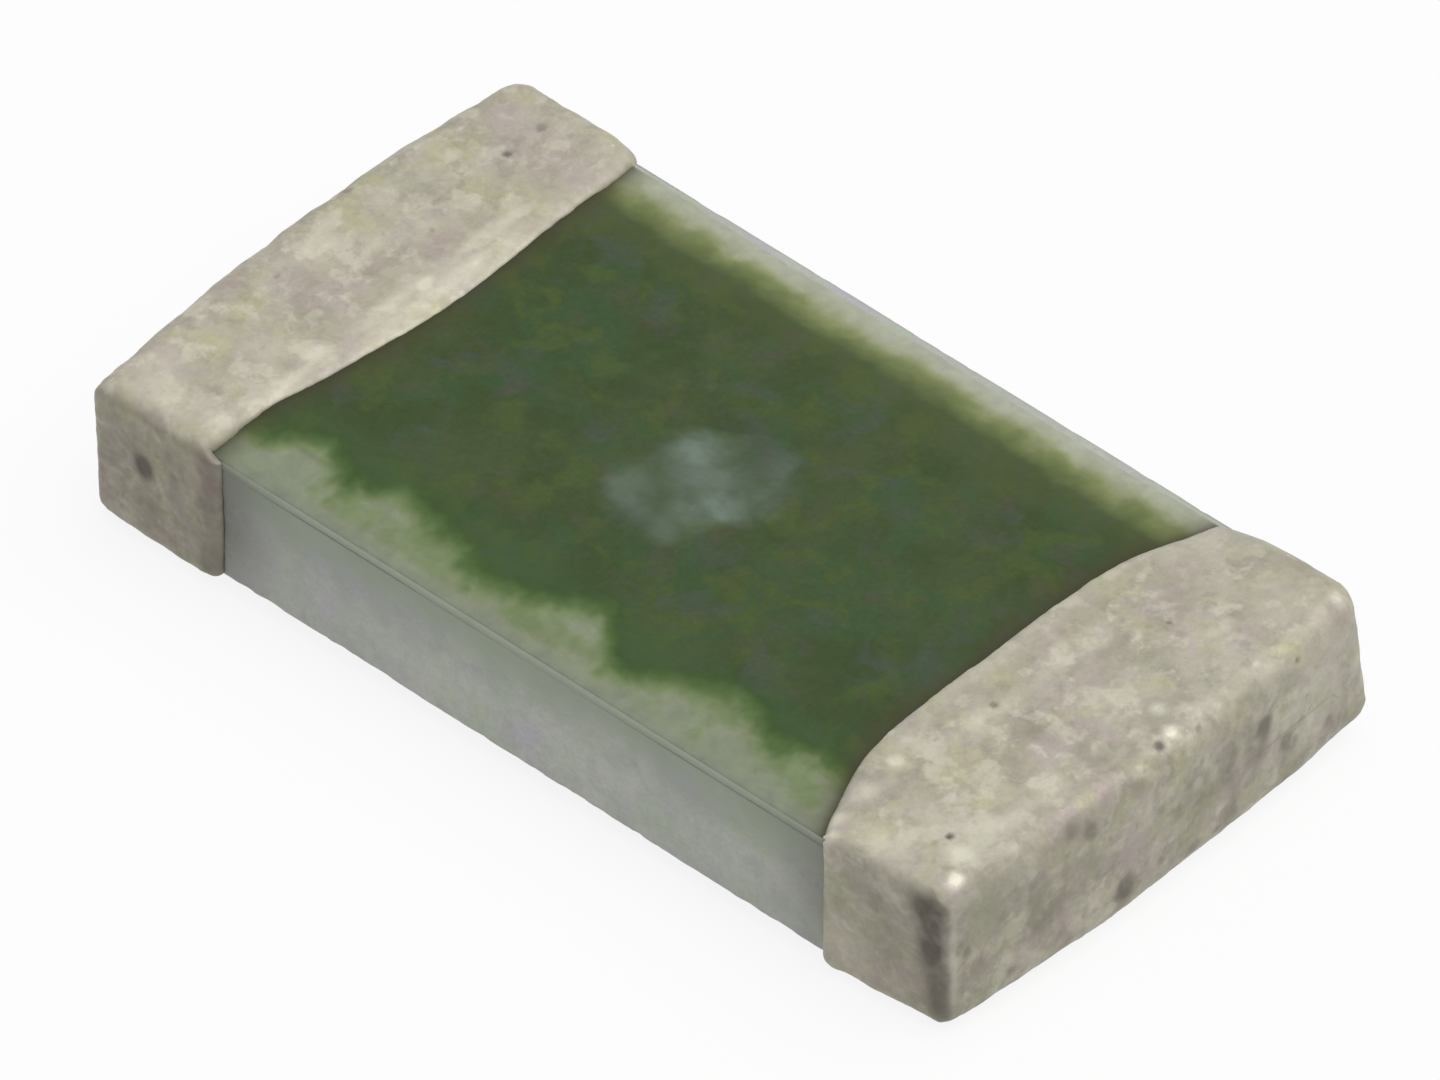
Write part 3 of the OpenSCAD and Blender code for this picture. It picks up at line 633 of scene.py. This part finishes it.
def coatThickness(x, y):
    # Crown that falls away as a parabola to the long edges, times the film share, with soft waves on it. At
    # the outer edges it goes down to nothing by a smooth step, which is given back as well.
    flat = np.stack([x, y, 0 * x], -1)
    across = (y - coat["shift"]) / coat["halfWidth"]
    full = coat["crown"] - coat["fall"] * across ** 2
    wander = layeredNoise(np.stack([x, 0 * x + 3, 0 * x], -1), 0.12, 17, 3) - 0.5
    far = coat["farEdge"] + coat["farWander"] * wander
    edge = smoothStep(0, coat["nearSlope"], y - coat["nearEdge"]) * smoothStep(0, coat["farSlope"], far - y)
    waves = sum(height * (layeredNoise(flat, *noise) - 0.5) for height, *noise in coat["waves"])
    # over the printed electrodes it never gets thinner than what hides them
    covered = smoothStep(*coat["electrodeX"], np.abs(x)) * smoothStep(*coat["electrodeY"], y)
    least = coat["least"] + coat["cover"] * covered
    return np.maximum(full * coatFilm(x, y) + waves, least) * edge, edge


def blockTop(y):
    # Height of the ceramic's top face, with the round that leads into its long edges
    past = np.clip(np.abs(y) - (chip["ceramicWidth"] / 2 - chip["ceramicRound"]), 0, chip["ceramicRound"])
    return chip["ceramicTop"] - chip["ceramicRound"] + np.sqrt(chip["ceramicRound"] ** 2 - past ** 2)


def coatTop(x, y):
    # Height of whatever is on top there, coat or bare ceramic
    return blockTop(y) + np.maximum(coatThickness(x, y)[0], 0)


def makeCoat():
    # Upper surface as a grid over length and width, whose points spread out between the two rims, with a
    # strip under it that closes it on the ceramic and one face at each end
    t = np.linspace(0, 1, coat["rows"])
    t = t - coat["crowd"] * np.sin(2 * np.pi * t)
    before, wider = coat["margin"]
    y = (coat["nearEdge"] - before) + (coat["farEdge"] - coat["nearEdge"] + wider) * t
    way, y = np.meshgrid(np.linspace(0, 1, coat["columns"]), y, indexing="ij")
    x = (footAt(y, rightEnd) + coat["tuck"]) * way - (footAt(y, leftEnd) + coat["tuck"]) * (1 - way)
    thick, edge = coatThickness(x, y)
    z = blockTop(y) - coat["sink"] * (1 - edge) + np.maximum(thick, 0)
    top = np.stack([x, y, z], -1)
    rows = coat["rows"]
    index = np.arange(coat["columns"])[:, None] * rows + np.arange(rows)
    quads = np.stack([index[:-1, :-1], index[1:, :-1], index[1:, 1:], index[:-1, 1:]], -1).reshape(-1, 4)
    under = np.stack([index[:-1, 0], index[:-1, -1], index[1:, -1], index[1:, 0]], -1)
    faces = quads.tolist() + under.tolist() + [index[0].tolist(), index[-1][::-1].tolist()]
    data = {key: rimGap(x, y, coat[key]) for key in ("gap", "shade")}
    data["film"] = coatFilm(x, y) * (0.35 + 0.65 * edge)                # palest at its outer edges
    makePiece("greenCoatLayer", top.reshape(-1, 3), faces, data, ["green_overcoat"], greenCoat)


makeCoat()


# Worn print: a thin lens on the coat

blotch = dict(
    centre=(-0.04, -0.035), radius=0.275,
    waves=((2, 0.17, -14), (3, 0.07, 0), (5, 0.05, 70)),        # of its outline: number, height, turn
    lift=0.0016,             # height above the coat
    sink=0.0006,             # depth of its rim below the coat's surface
    keel=0.0012,             # and of its underside
    sinkFrom=0.80,           # share of its radius at which it starts to go down into the coat
    worn=(0.60, 0.97),       # and those between which its ragged outline wears away
    heart=0.60,              # ink left in its very middle
    rings=56, spokes=180,
    # where most of the print is left: place, reach along and across, share
    lobes=[((-0.125, 0.070), 0.095, 0.090, 1.00), ((0.036, -0.090), 0.110, 0.110, 0.86),
           ((0.100, 0.150), 0.090, 0.090, 0.58), ((-0.185, -0.205), 0.110, 0.110, 0.60),
           ((-0.030, -0.010), 0.170, 0.140, 0.55), ((0.120, 0.010), 0.070, 0.090, 0.45),
           ((0.020, -0.210), 0.090, 0.080, 0.40), ((-0.190, 0.170), 0.080, 0.080, 0.35)],
)


def makeBlotch():
    # Polar grid whose radius is 1 plus a sum of waves round the centre, laid on the coat and sunk at its rim
    turn = np.linspace(0, 2 * np.pi, blotch["spokes"], endpoint=False)
    outline = 1
    for number, wave, phase in blotch["waves"]:
        outline = outline + wave * np.sin(number * turn + math.radians(phase))
    reach = blotch["radius"] * outline
    share = np.linspace(0, 1, blotch["rings"] + 1)[1:]
    x = blotch["centre"][0] + share[:, None] * reach * np.cos(turn)
    y = blotch["centre"][1] + share[:, None] * reach * np.sin(turn)
    fade = 1 - smoothStep(blotch["sinkFrom"], 1.0, share)[:, None]
    z = coatTop(x, y) + blotch["lift"] * fade - blotch["sink"] * (1 - fade)
    upper = np.stack([x, y, z], -1)
    lower = np.stack([x, y, coatTop(x, y) - blotch["keel"]], -1)[::-1][::8]     # every eighth ring is enough
    middle = np.array([blotch["centre"]])
    poles = np.column_stack([middle, coatTop(middle[:, 0], middle[:, 1])])
    points = np.vstack([poles + [0, 0, blotch["lift"]], upper.reshape(-1, 3),
                        lower.reshape(-1, 3), poles - [0, 0, blotch["keel"]]])
    n, total = blotch["spokes"], len(upper) + len(lower)
    faces = ringQuads(total, n, 1).tolist()
    around = np.arange(n)
    faces += np.stack([0 * around, 1 + np.roll(around, -1), 1 + around], -1).tolist()
    last = 1 + (total - 1) * n
    faces += np.stack([0 * around + len(points) - 1, last + around, last + np.roll(around, -1)], -1).tolist()
    lobes = 0 * x
    for at, wide, high, left in blotch["lobes"]:
        lobes = np.maximum(lobes, left * np.exp(-((x - at[0]) / wide) ** 2 - ((y - at[1]) / high) ** 2))
    ragged = layeredNoise(upper, 0.10, 71, 3) - 0.5
    worn = 1 - smoothStep(*blotch["worn"], share[:, None] + 0.5 * ragged)
    ink = lobes * worn * (1 - smoothStep(0.85, 1.0, share)[:, None])
    ink = np.concatenate([[blotch["heart"]], ink.ravel(), np.zeros(lower.shape[0] * n + 1)])
    makePiece("wornPrintPatch", points, faces, {"ink": ink}, ["marking"], wornPrint)


makeBlotch()


# Ceramic block

block = dict(
    crease=0.10,             # depth of the smooth upper band of each side face, below the top
    chips=0.003,             # depth of the small breaks along the edges
    sideSwell=0.0022, sideRough=0.0040,         # unevenness of the side faces, and more of it below
    faceSwell=0.0010,        # unevenness of the top and bottom
    hiddenRound=0.045,       # how much rounder the edges are under the metal
    bare=1.16, covered=1.2,  # where the finely divided part ends and the coarse one under the metal begins
    lag=0.03,                # how far behind the metal it starts to draw in
    leftShade=0.16, rightShade=0.15,            # reach of the painted shade on the side faces beside each metal end
    leftShadeStrength=0.90, rightShadeStrength=0.72,            # and its strength
    flat=120, upright=44, corner=8, stations=236,
)


def makeBlock():
    # A rounded rectangle carried along the length. Its edges are nibbled by noise, its sides have a smooth
    # band above and a slightly rough broken one below, and both ends are closed by a lid.
    path = ringPath(block["flat"], block["upright"], block["corner"])
    halfY, halfZ = chip["ceramicWidth"] / 2, (chip["ceramicTop"] - chip["ceramicBottom"]) / 2
    middleZ = (chip["ceramicTop"] + chip["ceramicBottom"]) / 2
    endX = chip["ceramicLength"] / 2
    inner = np.linspace(-block["bare"], block["bare"], block["stations"] - 12)
    outer = np.linspace(block["covered"], endX, 6)
    x = np.concatenate([-outer[::-1], inner, outer])
    # under the metal the edges are rounder, and the block draws in as the metal does
    r = chip["ceramicRound"] + block["hiddenRound"] * smoothStep(block["bare"], 1.30, np.abs(x))[:, None]
    y = path[0] * (halfY - r) + r * np.cos(path[2])
    z = middleZ + path[1] * (halfZ - r) + r * np.sin(path[2])
    y = y * (1 - drawnIn(np.abs(x)[:, None] - block["lag"], y, rightEnd))
    p = np.stack(np.broadcast_arrays(x[:, None], y, z), -1).copy()
    normal = np.stack([0 * path[2], np.cos(path[2]), np.sin(path[2])], -1)
    corner = np.abs(np.sin(2 * path[2])) ** 2 * (np.abs(path[0]) > 0.999)
    onSide = np.abs(np.cos(path[2]))
    below = smoothStep(0, 0.03, chip["ceramicTop"] - block["crease"] - p[..., 2])
    nibble = np.clip(layeredNoise(p, 0.09, 31, 4, 0.6) - 0.52, 0, 1) * 5
    rough = layeredNoise(p, 0.05, 35, 4, 0.6)
    swell = layeredNoise(p, 0.35, 37, 2)
    depth = block["chips"] * corner * np.clip(nibble, 0, 1)
    depth = depth + onSide * (block["sideSwell"] * swell + below * block["sideRough"] * rough)
    depth = depth + (1 - onSide) * block["faceSwell"] * swell
    # where the coat's pale film lies on the near upper edge, it has no breaks
    glazed = (p[..., 1] < 0) * (p[..., 2] > middleZ) * (1 - onSide) * (np.abs(p[..., 1]) > halfY - 2 * r)
    depth = depth * (1 - (glazed > 0.02))
    p -= normal * depth[..., None]
    rows, columns = p.shape[:2]
    rings = np.arange(rows * columns).reshape(rows, columns)
    faces = ringQuads(rows, columns).tolist() + ringLid(rings[0]) + ringLid(rings[-1])
    height = (p[..., 2] - chip["ceramicBottom"]) / (2 * halfZ)
    # painted shade on the side faces beside each metal end, weaker towards the bottom
    gap = block["leftShadeStrength"] * np.exp(-((-p[..., 0] - leftEnd["sideRim"]) / block["leftShade"]) ** 2)
    gap = gap + block["rightShadeStrength"] * np.exp(-((p[..., 0] - rightEnd["sideRim"]) / block["rightShade"]) ** 2)
    # the film's green tint, with painted shade, fades out down the side
    ragged = layeredNoise(p, 0.10, 39, 4, 0.6)
    filmTintAndShade = onSide * smoothStep(0.40, 1.0, height + 0.3 * (ragged - 0.5))
    gap = gap * smoothStep(-0.3, 0.5, height)
    # painted light: the sides are painted paler towards the bottom
    paintedFloorLight = onSide * (1 - smoothStep(0.0, 0.8, height))
    data = {"broken": below * onSide, "filmTintAndShade": filmTintAndShade, "paintedFloorLight": paintedFloorLight, "gap": gap * onSide, "glazed": glazed}
    makePiece("ceramicBlock", p.reshape(-1, 3), faces, data, ["ceramic_substrate"], alumina)


makeBlock()


# Metal ends: silver base, nickel barrier and tin skin, one inside the other

shell = dict(
    faceRound=0.034,         # corners of the end face itself
    insets=(0.0, 0.009, 0.015, 0.036),          # of the tin, the nickel, the silver and what they cover
    press=0.0015,            # how deep the rim's foot is pressed into what it lies on
    foot=0.004,              # least radius that the rim keeps at its foot, in the corners
    rimWaves=((0.012, 0.30, 1, 2, 0.5), (0.010, 0.07, 2, 4, 0.6)),  # height, size, seed, layers and fade
    roundWave=(0.30, 0.16),  # unevenness of the end face's rounding into top and bottom: share and size
    farCorner=(0.50, 0.80), nearBottom=(-0.80, -0.30),          # where farSlope and endBottom change over
    shrink=0.992,            # how far the end face's rings shrink towards its middle line
    swell=0.0055, swellSize=0.17,               # depth and size of the broad dents in all three layers
    lumps=0.0042, lumpSize=0.055,               # and of the finer unevenness of the tin skin
    rimRubAndHighlight=0.22, cornerRubAndHighlight=0.12,                # brightness of the rubbed rim and edges, which carry a painted highlight too
    flat=150, upright=36, corner=14,
    fine=(22, 46, 30, 44),   # rings of the rim, the body, the end edge and the end face where they are seen
    coarse=(8, 6, 8, 8),     # and where they are hidden
)


def shellSurface(end, inset, steps):
    # One layer's surface as rings round the length, from the rim to the middle line of the end face.
    # Rim: a quarter ellipse from the contact line up to the full size. Body: straight. End edge: a quarter
    # round with its own radius across and upwards. End face: rings that shrink to a short line, bowed back
    # towards the upright corners. Everything is drawn in by inset.
    share, up, angle = ringPath(shell["flat"], shell["upright"], shell["corner"])
    cos, sin = np.cos(angle), np.sin(angle)
    side = end["side"]
    halfY, halfZ, middle = chip["width"] / 2 - inset, chip["height"] / 2 - inset, chip["height"] / 2
    edgeAt = lambda pair: np.where(share > 0, pair[1], pair[0])
    r = np.where(up > 0, edgeAt(end["topEdge"]), edgeAt(end["bottomEdge"])) - inset

    def ring(hy, hz, radius):
        return share * (hy - radius) + radius * cos, up * (hz - radius) + radius * sin

    y0, z0 = ring(halfY, halfZ, r)
    onSide = cos ** 2
    corner = np.sin(2 * angle) ** 2 * (np.abs(share) > 0.999) * (np.abs(up) > 0.999)
    alongRim = np.stack([0 * y0 + side, y0, z0], -1)
    rim = footAt(y0, end) * (1 - onSide) + end["sideRim"] * onSide
    for height, size, seed, layers, fade in shell["rimWaves"]:
        rim = rim + height * (layeredNoise(alongRim, size, end["seed"] + seed, layers, fade) - 0.5)
    # depth of the contact line below the full size: down to the ceramic, or to the coat where there is some
    wallSide = chip["width"] / 2 - chip["ceramicWidth"] / 2
    wallTop = chip["height"] - chip["ceramicTop"]
    down = chip["height"] - coatTop(side * rim, y0) + shell["press"]
    contact = wallSide * onSide + np.where(sin > 0, down, wallTop) * sin ** 2 - inset
    contact = np.where(corner > 0, np.minimum(contact, r - shell["foot"]), contact)
    # the rim's slope is longer at the far upper corner, where the metal hugs the ceramic
    farTop = smoothStep(*shell["farCorner"], y0) * smoothStep(-0.4, 1.0, z0 / halfZ)
    slope = end["nose"] + end["farSlope"] * farTop
    length = slope - inset
    rows = []
    for t in np.linspace(0, 1, steps[0], endpoint=False):
        drop = contact * (1 - np.sin(t * math.pi / 2))
        y = share * (halfY - r) + (r - drop) * cos
        z = up * (halfZ - r) + (r - drop) * sin
        y = np.where(np.abs(cos) < 1e-6, y0, y)
        rows.append(np.stack([rim + inset + length * (1 - math.cos(t * math.pi / 2)), y, z], -1))
    wave, size = shell["roundWave"]
    alongEnd = np.stack([0 * y0 + side * 1.5, y0, z0], -1)
    uneven = 1 + wave * (layeredNoise(alongEnd, size, end["seed"] + 3, 3) - 0.5)
    roundY = edgeAt(end["upright"]) + edgeAt(end["lean"]) * up - inset
    near, rest = end["endBottom"]
    lower = near + (rest - near) * smoothStep(*shell["nearBottom"], y0)
    roundZ = np.where(up > 0, end["endTop"], lower) * uneven - inset
    reach = roundY * onSide + roundZ * (1 - onSide)
    last = chip["length"] / 2 - inset
    bow = lambda y: np.where(y > 0, end["endBow"][1], end["endBow"][0])
    bowed = lambda y: bow(y) * np.minimum(np.abs(y) / (chip["width"] / 2), 1) ** 2
    start = rim + slope
    stop = last - bowed(y0) - reach
    for t in np.linspace(0, 1, steps[1], endpoint=False):
        rows.append(np.stack([start + (stop - start) * t, y0, z0], -1))
    for t in np.linspace(0, 1, steps[2], endpoint=False):
        turn = t * math.pi / 2
        shrink = 1 - math.cos(turn)
        radius = r * (1 - shrink) + shell["faceRound"] * shrink
        y, z = ring(halfY - roundY * shrink, halfZ - roundZ * shrink, radius)
        rows.append(np.stack([last - bowed(y) - reach * (1 - math.sin(turn)), y, z], -1))
    highest = halfZ - roundZ
    for t in np.linspace(0, 1, steps[3]):
        left = 1 - t * shell["shrink"]
        y, z = ring(halfY - roundY - highest * (1 - left), highest * left, shell["faceRound"] * left)
        rows.append(np.stack([last - bowed(y), y, z], -1))
    p = np.stack(rows)
    p[..., 1] *= 1 - drawnIn(p[..., 0], p[..., 1], end)
    p[..., 0] *= side
    p[..., 2] += middle
    return p


def shellNormals(p, end, steps):
    # Outward normals: on the end face from the slope of its bow, 2 b y / w squared with the bow b and half
    # the width w, elsewhere from the grid
    n = gridNormals(p)
    if ((p - np.array([end["side"] * 1.25, 0, 0.25])) * n).sum() < 0:
        n = -n
    y = p[-steps[3]:, :, 1]
    slope = 2 * np.where(y > 0, end["endBow"][1], end["endBow"][0]) * y / (chip["width"] / 2) ** 2
    face = np.stack([0 * y + end["side"], slope, 0 * y], -1)
    n[-steps[3]:] = face / np.linalg.norm(face, axis=-1, keepdims=True)
    return n


def patch(p, x, y, z, wideX, wideY, wideZ, share):
    # A soft patch: a bell of the distance to its centre, measured by its reach in each direction
    away = ((p - np.array([x, y, z])) / np.array([wideX, wideY, wideZ])) ** 2
    return share * np.exp(-away.sum(-1))


wear = dict(
    specks=14,               # small dark spots, scattered over each end
    speckSize=(0.010, 0.020), speckTone=(0.2, 0.6), speckDent=0.15,
    runs=0.60,               # strength of the darker runs on the upright faces: dirt and painted shade
)


def wearAndPaintedLightFields(p, end):
    # Depth of the dents under one end's dark spots, and for each point its stains and painted shade, its dirt
    # and painted shade, its wear and painted highlights, and how pinkish or greenish it is: the largest of
    # the soft patches there
    random = np.random.default_rng(end["seed"] + 9)
    flat = p.reshape(-1, 3)
    small = flat[random.integers(0, len(flat), wear["specks"])]
    sizes = random.uniform(*wear["speckSize"], wear["specks"])
    tones = random.uniform(*wear["speckTone"], wear["specks"])
    spots = [(*at, r, wear["speckDent"] * r, tone) for at, r, tone in zip(small, sizes, tones)] + end["spots"]
    stainAndShade, dent = np.zeros(p.shape[:-1]), np.zeros(p.shape[:-1])
    wobble = 0.8 + 0.4 * layeredNoise(p, 0.03, end["seed"] + 12, 2)
    for x, y, z, radius, depth, tone in spots:
        bell = patch(p, x, y, z, radius, radius, radius * 1.25, 1.0) ** (1 / wobble ** 2)
        bell = smoothStep(0.10, 0.85, bell)
        stainAndShade = np.maximum(stainAndShade, bell * tone)
        dent = np.maximum(dent, bell * depth)
    fields = {}
    for key in ("dirtAndShade", "dark", "wearAndHighlight", "pink", "green"):
        fields[key] = np.clip(np.max([patch(p, *place) for place in end[key]], axis=0), 0, 1.5)
    # darker runs and clouds on the upright faces, drawn out from top to bottom: dirt and painted shade
    upright = smoothStep(0.02, 0.14, chip["height"] - p[..., 2])
    runs = layeredNoise(p * np.array([1, 1, 0.45]), 0.11, end["seed"] + 31, 4, 0.6)
    fields["dirtAndShade"] = np.maximum(fields["dirtAndShade"], wear["runs"] * upright * smoothStep(0.48, 0.76, runs))
    patchy = smoothStep(0.3, 0.6, layeredNoise(p, 0.04, end["seed"] + 41, 3))
    fields["stainAndShade"] = np.maximum(stainAndShade, np.minimum(fields.pop("dark"), 1) * (0.75 + 0.25 * patchy))
    fields["upright"] = upright
    return dent, fields


def rubbedAndHighlitEdges(steps):
    # Bright band round the rim, a half wave along its slope, on its top part only, and thinner ones along the
    # four corners as far as the end face: rubbed metal with a painted highlight
    stations = np.arange(sum(steps))
    bands = np.zeros(len(stations))
    bands[:steps[0] + 4] = shell["rimRubAndHighlight"] * np.sin(np.linspace(0.35, 1, steps[0] + 4) * math.pi) ** 0.7
    angle = ringPath(shell["flat"], shell["upright"], shell["corner"])[2]
    corner = shell["cornerRubAndHighlight"] * np.sin(2 * angle) ** 2
    upward = np.clip(np.sin(angle), 0, 1) ** 2
    return np.maximum(bands[:, None] * upward, corner * (stations < sum(steps[:3]))[:, None])


def layerFace(end, inset, steps):
    # One surface of a layer with its outward normals, the depth of its broad dents and how far each of its
    # rings has risen out of the rim, from 0 to 1
    p = shellSurface(end, inset, steps)
    rise = smoothStep(0, steps[0] * 0.9, np.arange(len(p)))[:, None]
    dents = shell["swell"] * layeredNoise(p, shell["swellSize"], end["seed"] + 21, 2) * rise
    return p, shellNormals(p, end, steps), dents, rise


def makeShell(name, end, inset, innerInset, node, material, skin):
    # Outer surface and inner surface of one layer, joined along the rim, each closed on the end face. Only
    # the tin skin is finely divided and has lumps, wear, and painted shade and highlights.
    steps = shell["fine" if skin else "coarse"]
    outer, normal, depth, rise = layerFace(end, inset, steps)
    inner, innerNormal, innerDepth, _ = layerFace(end, innerInset, shell["coarse"])
    data = {}
    if skin:
        fine = layeredNoise(outer, shell["lumpSize"], end["seed"] + 23, 4, 0.6)
        dent, fields = wearAndPaintedLightFields(outer, end)
        depth = depth + rise * (shell["lumps"] * np.clip(fine * 1.6 - 0.3, 0, 1) + dent)
        fields["rubAndHighlight"] = np.maximum(rubbedAndHighlitEdges(steps), fields.pop("wearAndHighlight"))
        unworn = np.zeros(inner[..., 0].size)
        data = {key: np.concatenate([field.ravel(), unworn]) for key, field in fields.items()}
    outer = outer - normal * depth[..., None]
    inner = inner - innerNormal * innerDepth[..., None]
    rows, columns = outer.shape[:2]
    outerRings = np.arange(rows * columns).reshape(rows, columns)
    innerRings = rows * columns + np.arange(len(inner) * columns).reshape(len(inner), columns)
    faces = ringQuads(rows, columns)[:, ::-1].tolist() + [f[::-1] for f in ringLid(outerRings[-1])]
    faces += ringQuads(len(inner), columns, rows * columns).tolist() + ringLid(innerRings[-1])
    seamA, seamB = outerRings[0], innerRings[0]
    faces += np.stack([seamA, np.roll(seamA, -1), np.roll(seamB, -1), seamB], -1).tolist()
    points = np.vstack([outer.reshape(-1, 3), inner.reshape(-1, 3)])
    makePiece(name, points, faces, data, [node], material)


layers = [                   # piece, node, slot, finish, and whether it is the skin, from the outside inwards
    ("tinSkin", "tin_plating_", "matte_tin", matteTin, True),
    ("nickelBarrier", "nickel_barrier_", "nickel", nickelLayer, False),
    ("silverBase", "silver_termination_", "dipped_silver", silverLayer, False),
]
for side, end in (("Left", leftEnd), ("Right", rightEnd)):
    for k, (piece, node, slot, finish, skin) in enumerate(layers):
        outside, inside = shell["insets"][k:k + 2]
        makeShell(piece + side, end, outside, inside, node + side.lower(), finish, skin)


# Layers that stay as packed

kept = {
    "underglaze": clearGlass, "glass_passivation": clearGlass, "fuse_link": linkMetal,
    "top_electrode_left": printedSilver, "top_electrode_right": printedSilver,
    "back_electrode_left": printedSilver, "back_electrode_right": printedSilver,
}
for name, material in kept.items():
    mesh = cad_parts[name].data
    mesh.materials.clear()
    mesh.materials.append(material)
print("finishes set on", len(kept), "inner layers")


# Floor, light and camera

stageLook = dict(
    floorSize=400, floorTone=0.90,
    shadowShare=0.13,        # share of the chip's shadow that the white floor keeps
    skyStrength=0.42, sunStrength=1.85, sunSpread=60, sunFrom=(0.30, 0.22, 1.0),
)


def backdropShare(tree):
    # 1 for rays from the camera, off glossy surfaces and through clear ones, and 0 for all other light
    path = tree.nodes.new("ShaderNodeLightPath")
    seen = path.outputs["Is Camera Ray"]
    for kind in ("Is Glossy Ray", "Is Transmission Ray"):
        larger = tree.nodes.new("ShaderNodeMath")
        larger.operation = "MAXIMUM"
        tree.links.new(seen, larger.inputs[0])
        tree.links.new(path.outputs[kind], larger.inputs[1])
        seen = larger.outputs[0]
    return seen


def whiteBackdrop(tree, share, lit, white, output):
    # Shows the white shader for that share, and the lit one for the rest
    white.inputs["Color"].default_value = (1, 1, 1, 1)
    mixed = tree.nodes.new("ShaderNodeMixShader")
    for value, socket in ((share, "Fac"), (lit.outputs[0], 1), (white.outputs[0], 2)):
        tree.links.new(value, mixed.inputs[socket])
    tree.links.new(mixed.outputs[0], tree.nodes.new(output).inputs["Surface"])


def makeFloor():
    # One large square at the height of the solder side
    half = stageLook["floorSize"] / 2 * mm
    mesh = bpy.data.meshes.new("floor")
    corners = [(-half, -half, 0), (half, -half, 0), (half, half, 0), (-half, half, 0)]
    mesh.from_pydata(corners, [], [(0, 1, 2, 3)])
    floor = bpy.data.objects.new("floor", mesh)
    bpy.context.scene.collection.objects.link(floor)
    material = bpy.data.materials.new("paleFloor")
    material.use_nodes = True
    tree = material.node_tree
    tree.nodes.clear()
    matte, white = tree.nodes.new("ShaderNodeBsdfDiffuse"), tree.nodes.new("ShaderNodeEmission")
    matte.inputs["Color"].default_value = (*[stageLook["floorTone"]] * 3, 1)
    part = tree.nodes.new("ShaderNodeMath")
    part.operation = "MULTIPLY"
    tree.links.new(backdropShare(tree), part.inputs[0])
    part.inputs[1].default_value = 1 - stageLook["shadowShare"]
    whiteBackdrop(tree, part.outputs[0], matte, white, "ShaderNodeOutputMaterial")
    mesh.materials.append(material)


def makeLight():
    # A soft white sky that shows as plain white, and one broad lamp from above
    scene = bpy.context.scene
    world = bpy.data.worlds.new("softSky")
    scene.world = world
    world.use_nodes = True
    tree = world.node_tree
    tree.nodes.clear()
    sky, white = [tree.nodes.new("ShaderNodeBackground") for _ in range(2)]
    sky.inputs["Strength"].default_value = stageLook["skyStrength"]
    sky.inputs["Color"].default_value = (1, 1, 1, 1)
    whiteBackdrop(tree, backdropShare(tree), sky, white, "ShaderNodeOutputWorld")
    lamp = bpy.data.lights.new("overheadSoftbox", "SUN")
    lamp.energy = stageLook["sunStrength"]
    lamp.angle = math.radians(stageLook["sunSpread"])
    sun = bpy.data.objects.new("overheadSoftbox", lamp)
    sun.rotation_mode = "QUATERNION"
    sun.rotation_quaternion = Vector(stageLook["sunFrom"]).to_track_quat("Z", "Y")
    scene.collection.objects.link(sun)
    scene.view_settings.view_transform = "Standard"


lens = dict(
    azimuth=43.5, elevation=43.1, roll=-1.1,    # degrees
    distance=80.0, sensor=36, pixelsPerMm=386.3,
    chipAt=(725.4, 551.0), picture=(1440, 1080),        # place of the chip's middle, and size, in pixels
)


def makeCamera():
    # A long lens from far off, turned round the chip's mid-height centre and slid sideways until that centre
    # falls on its place in the picture
    a, e = math.radians(lens["azimuth"]), math.radians(lens["elevation"])
    back = Vector((math.sin(a) * math.cos(e), -math.cos(a) * math.cos(e), math.sin(e)))
    turn = (-back).to_track_quat("-Z", "Y").to_matrix() @ Matrix.Rotation(math.radians(lens["roll"]), 3, "Z")
    right, up = turn @ Vector((1, 0, 0)), turn @ Vector((0, 1, 0))
    middle = Vector((0, 0, chip["height"] / 2))
    offX = (lens["chipAt"][0] - lens["picture"][0] / 2) / lens["pixelsPerMm"]
    offY = (lens["picture"][1] / 2 - lens["chipAt"][1]) / lens["pixelsPerMm"]
    place = middle - right * offX - up * offY + back * lens["distance"]
    data = bpy.data.cameras.new("camera")
    data.sensor_width = lens["sensor"]
    data.lens = lens["pixelsPerMm"] * lens["distance"] * lens["sensor"] / lens["picture"][0]
    data.clip_start, data.clip_end = 0.005, 1.0
    camera = bpy.data.objects.new("camera", data)
    camera.matrix_world = Matrix.Translation(place * mm) @ turn.to_4x4()
    bpy.context.scene.collection.objects.link(camera)
    bpy.context.scene.camera = camera


makeFloor()
makeLight()
makeCamera()
print("floor, light and camera ready")
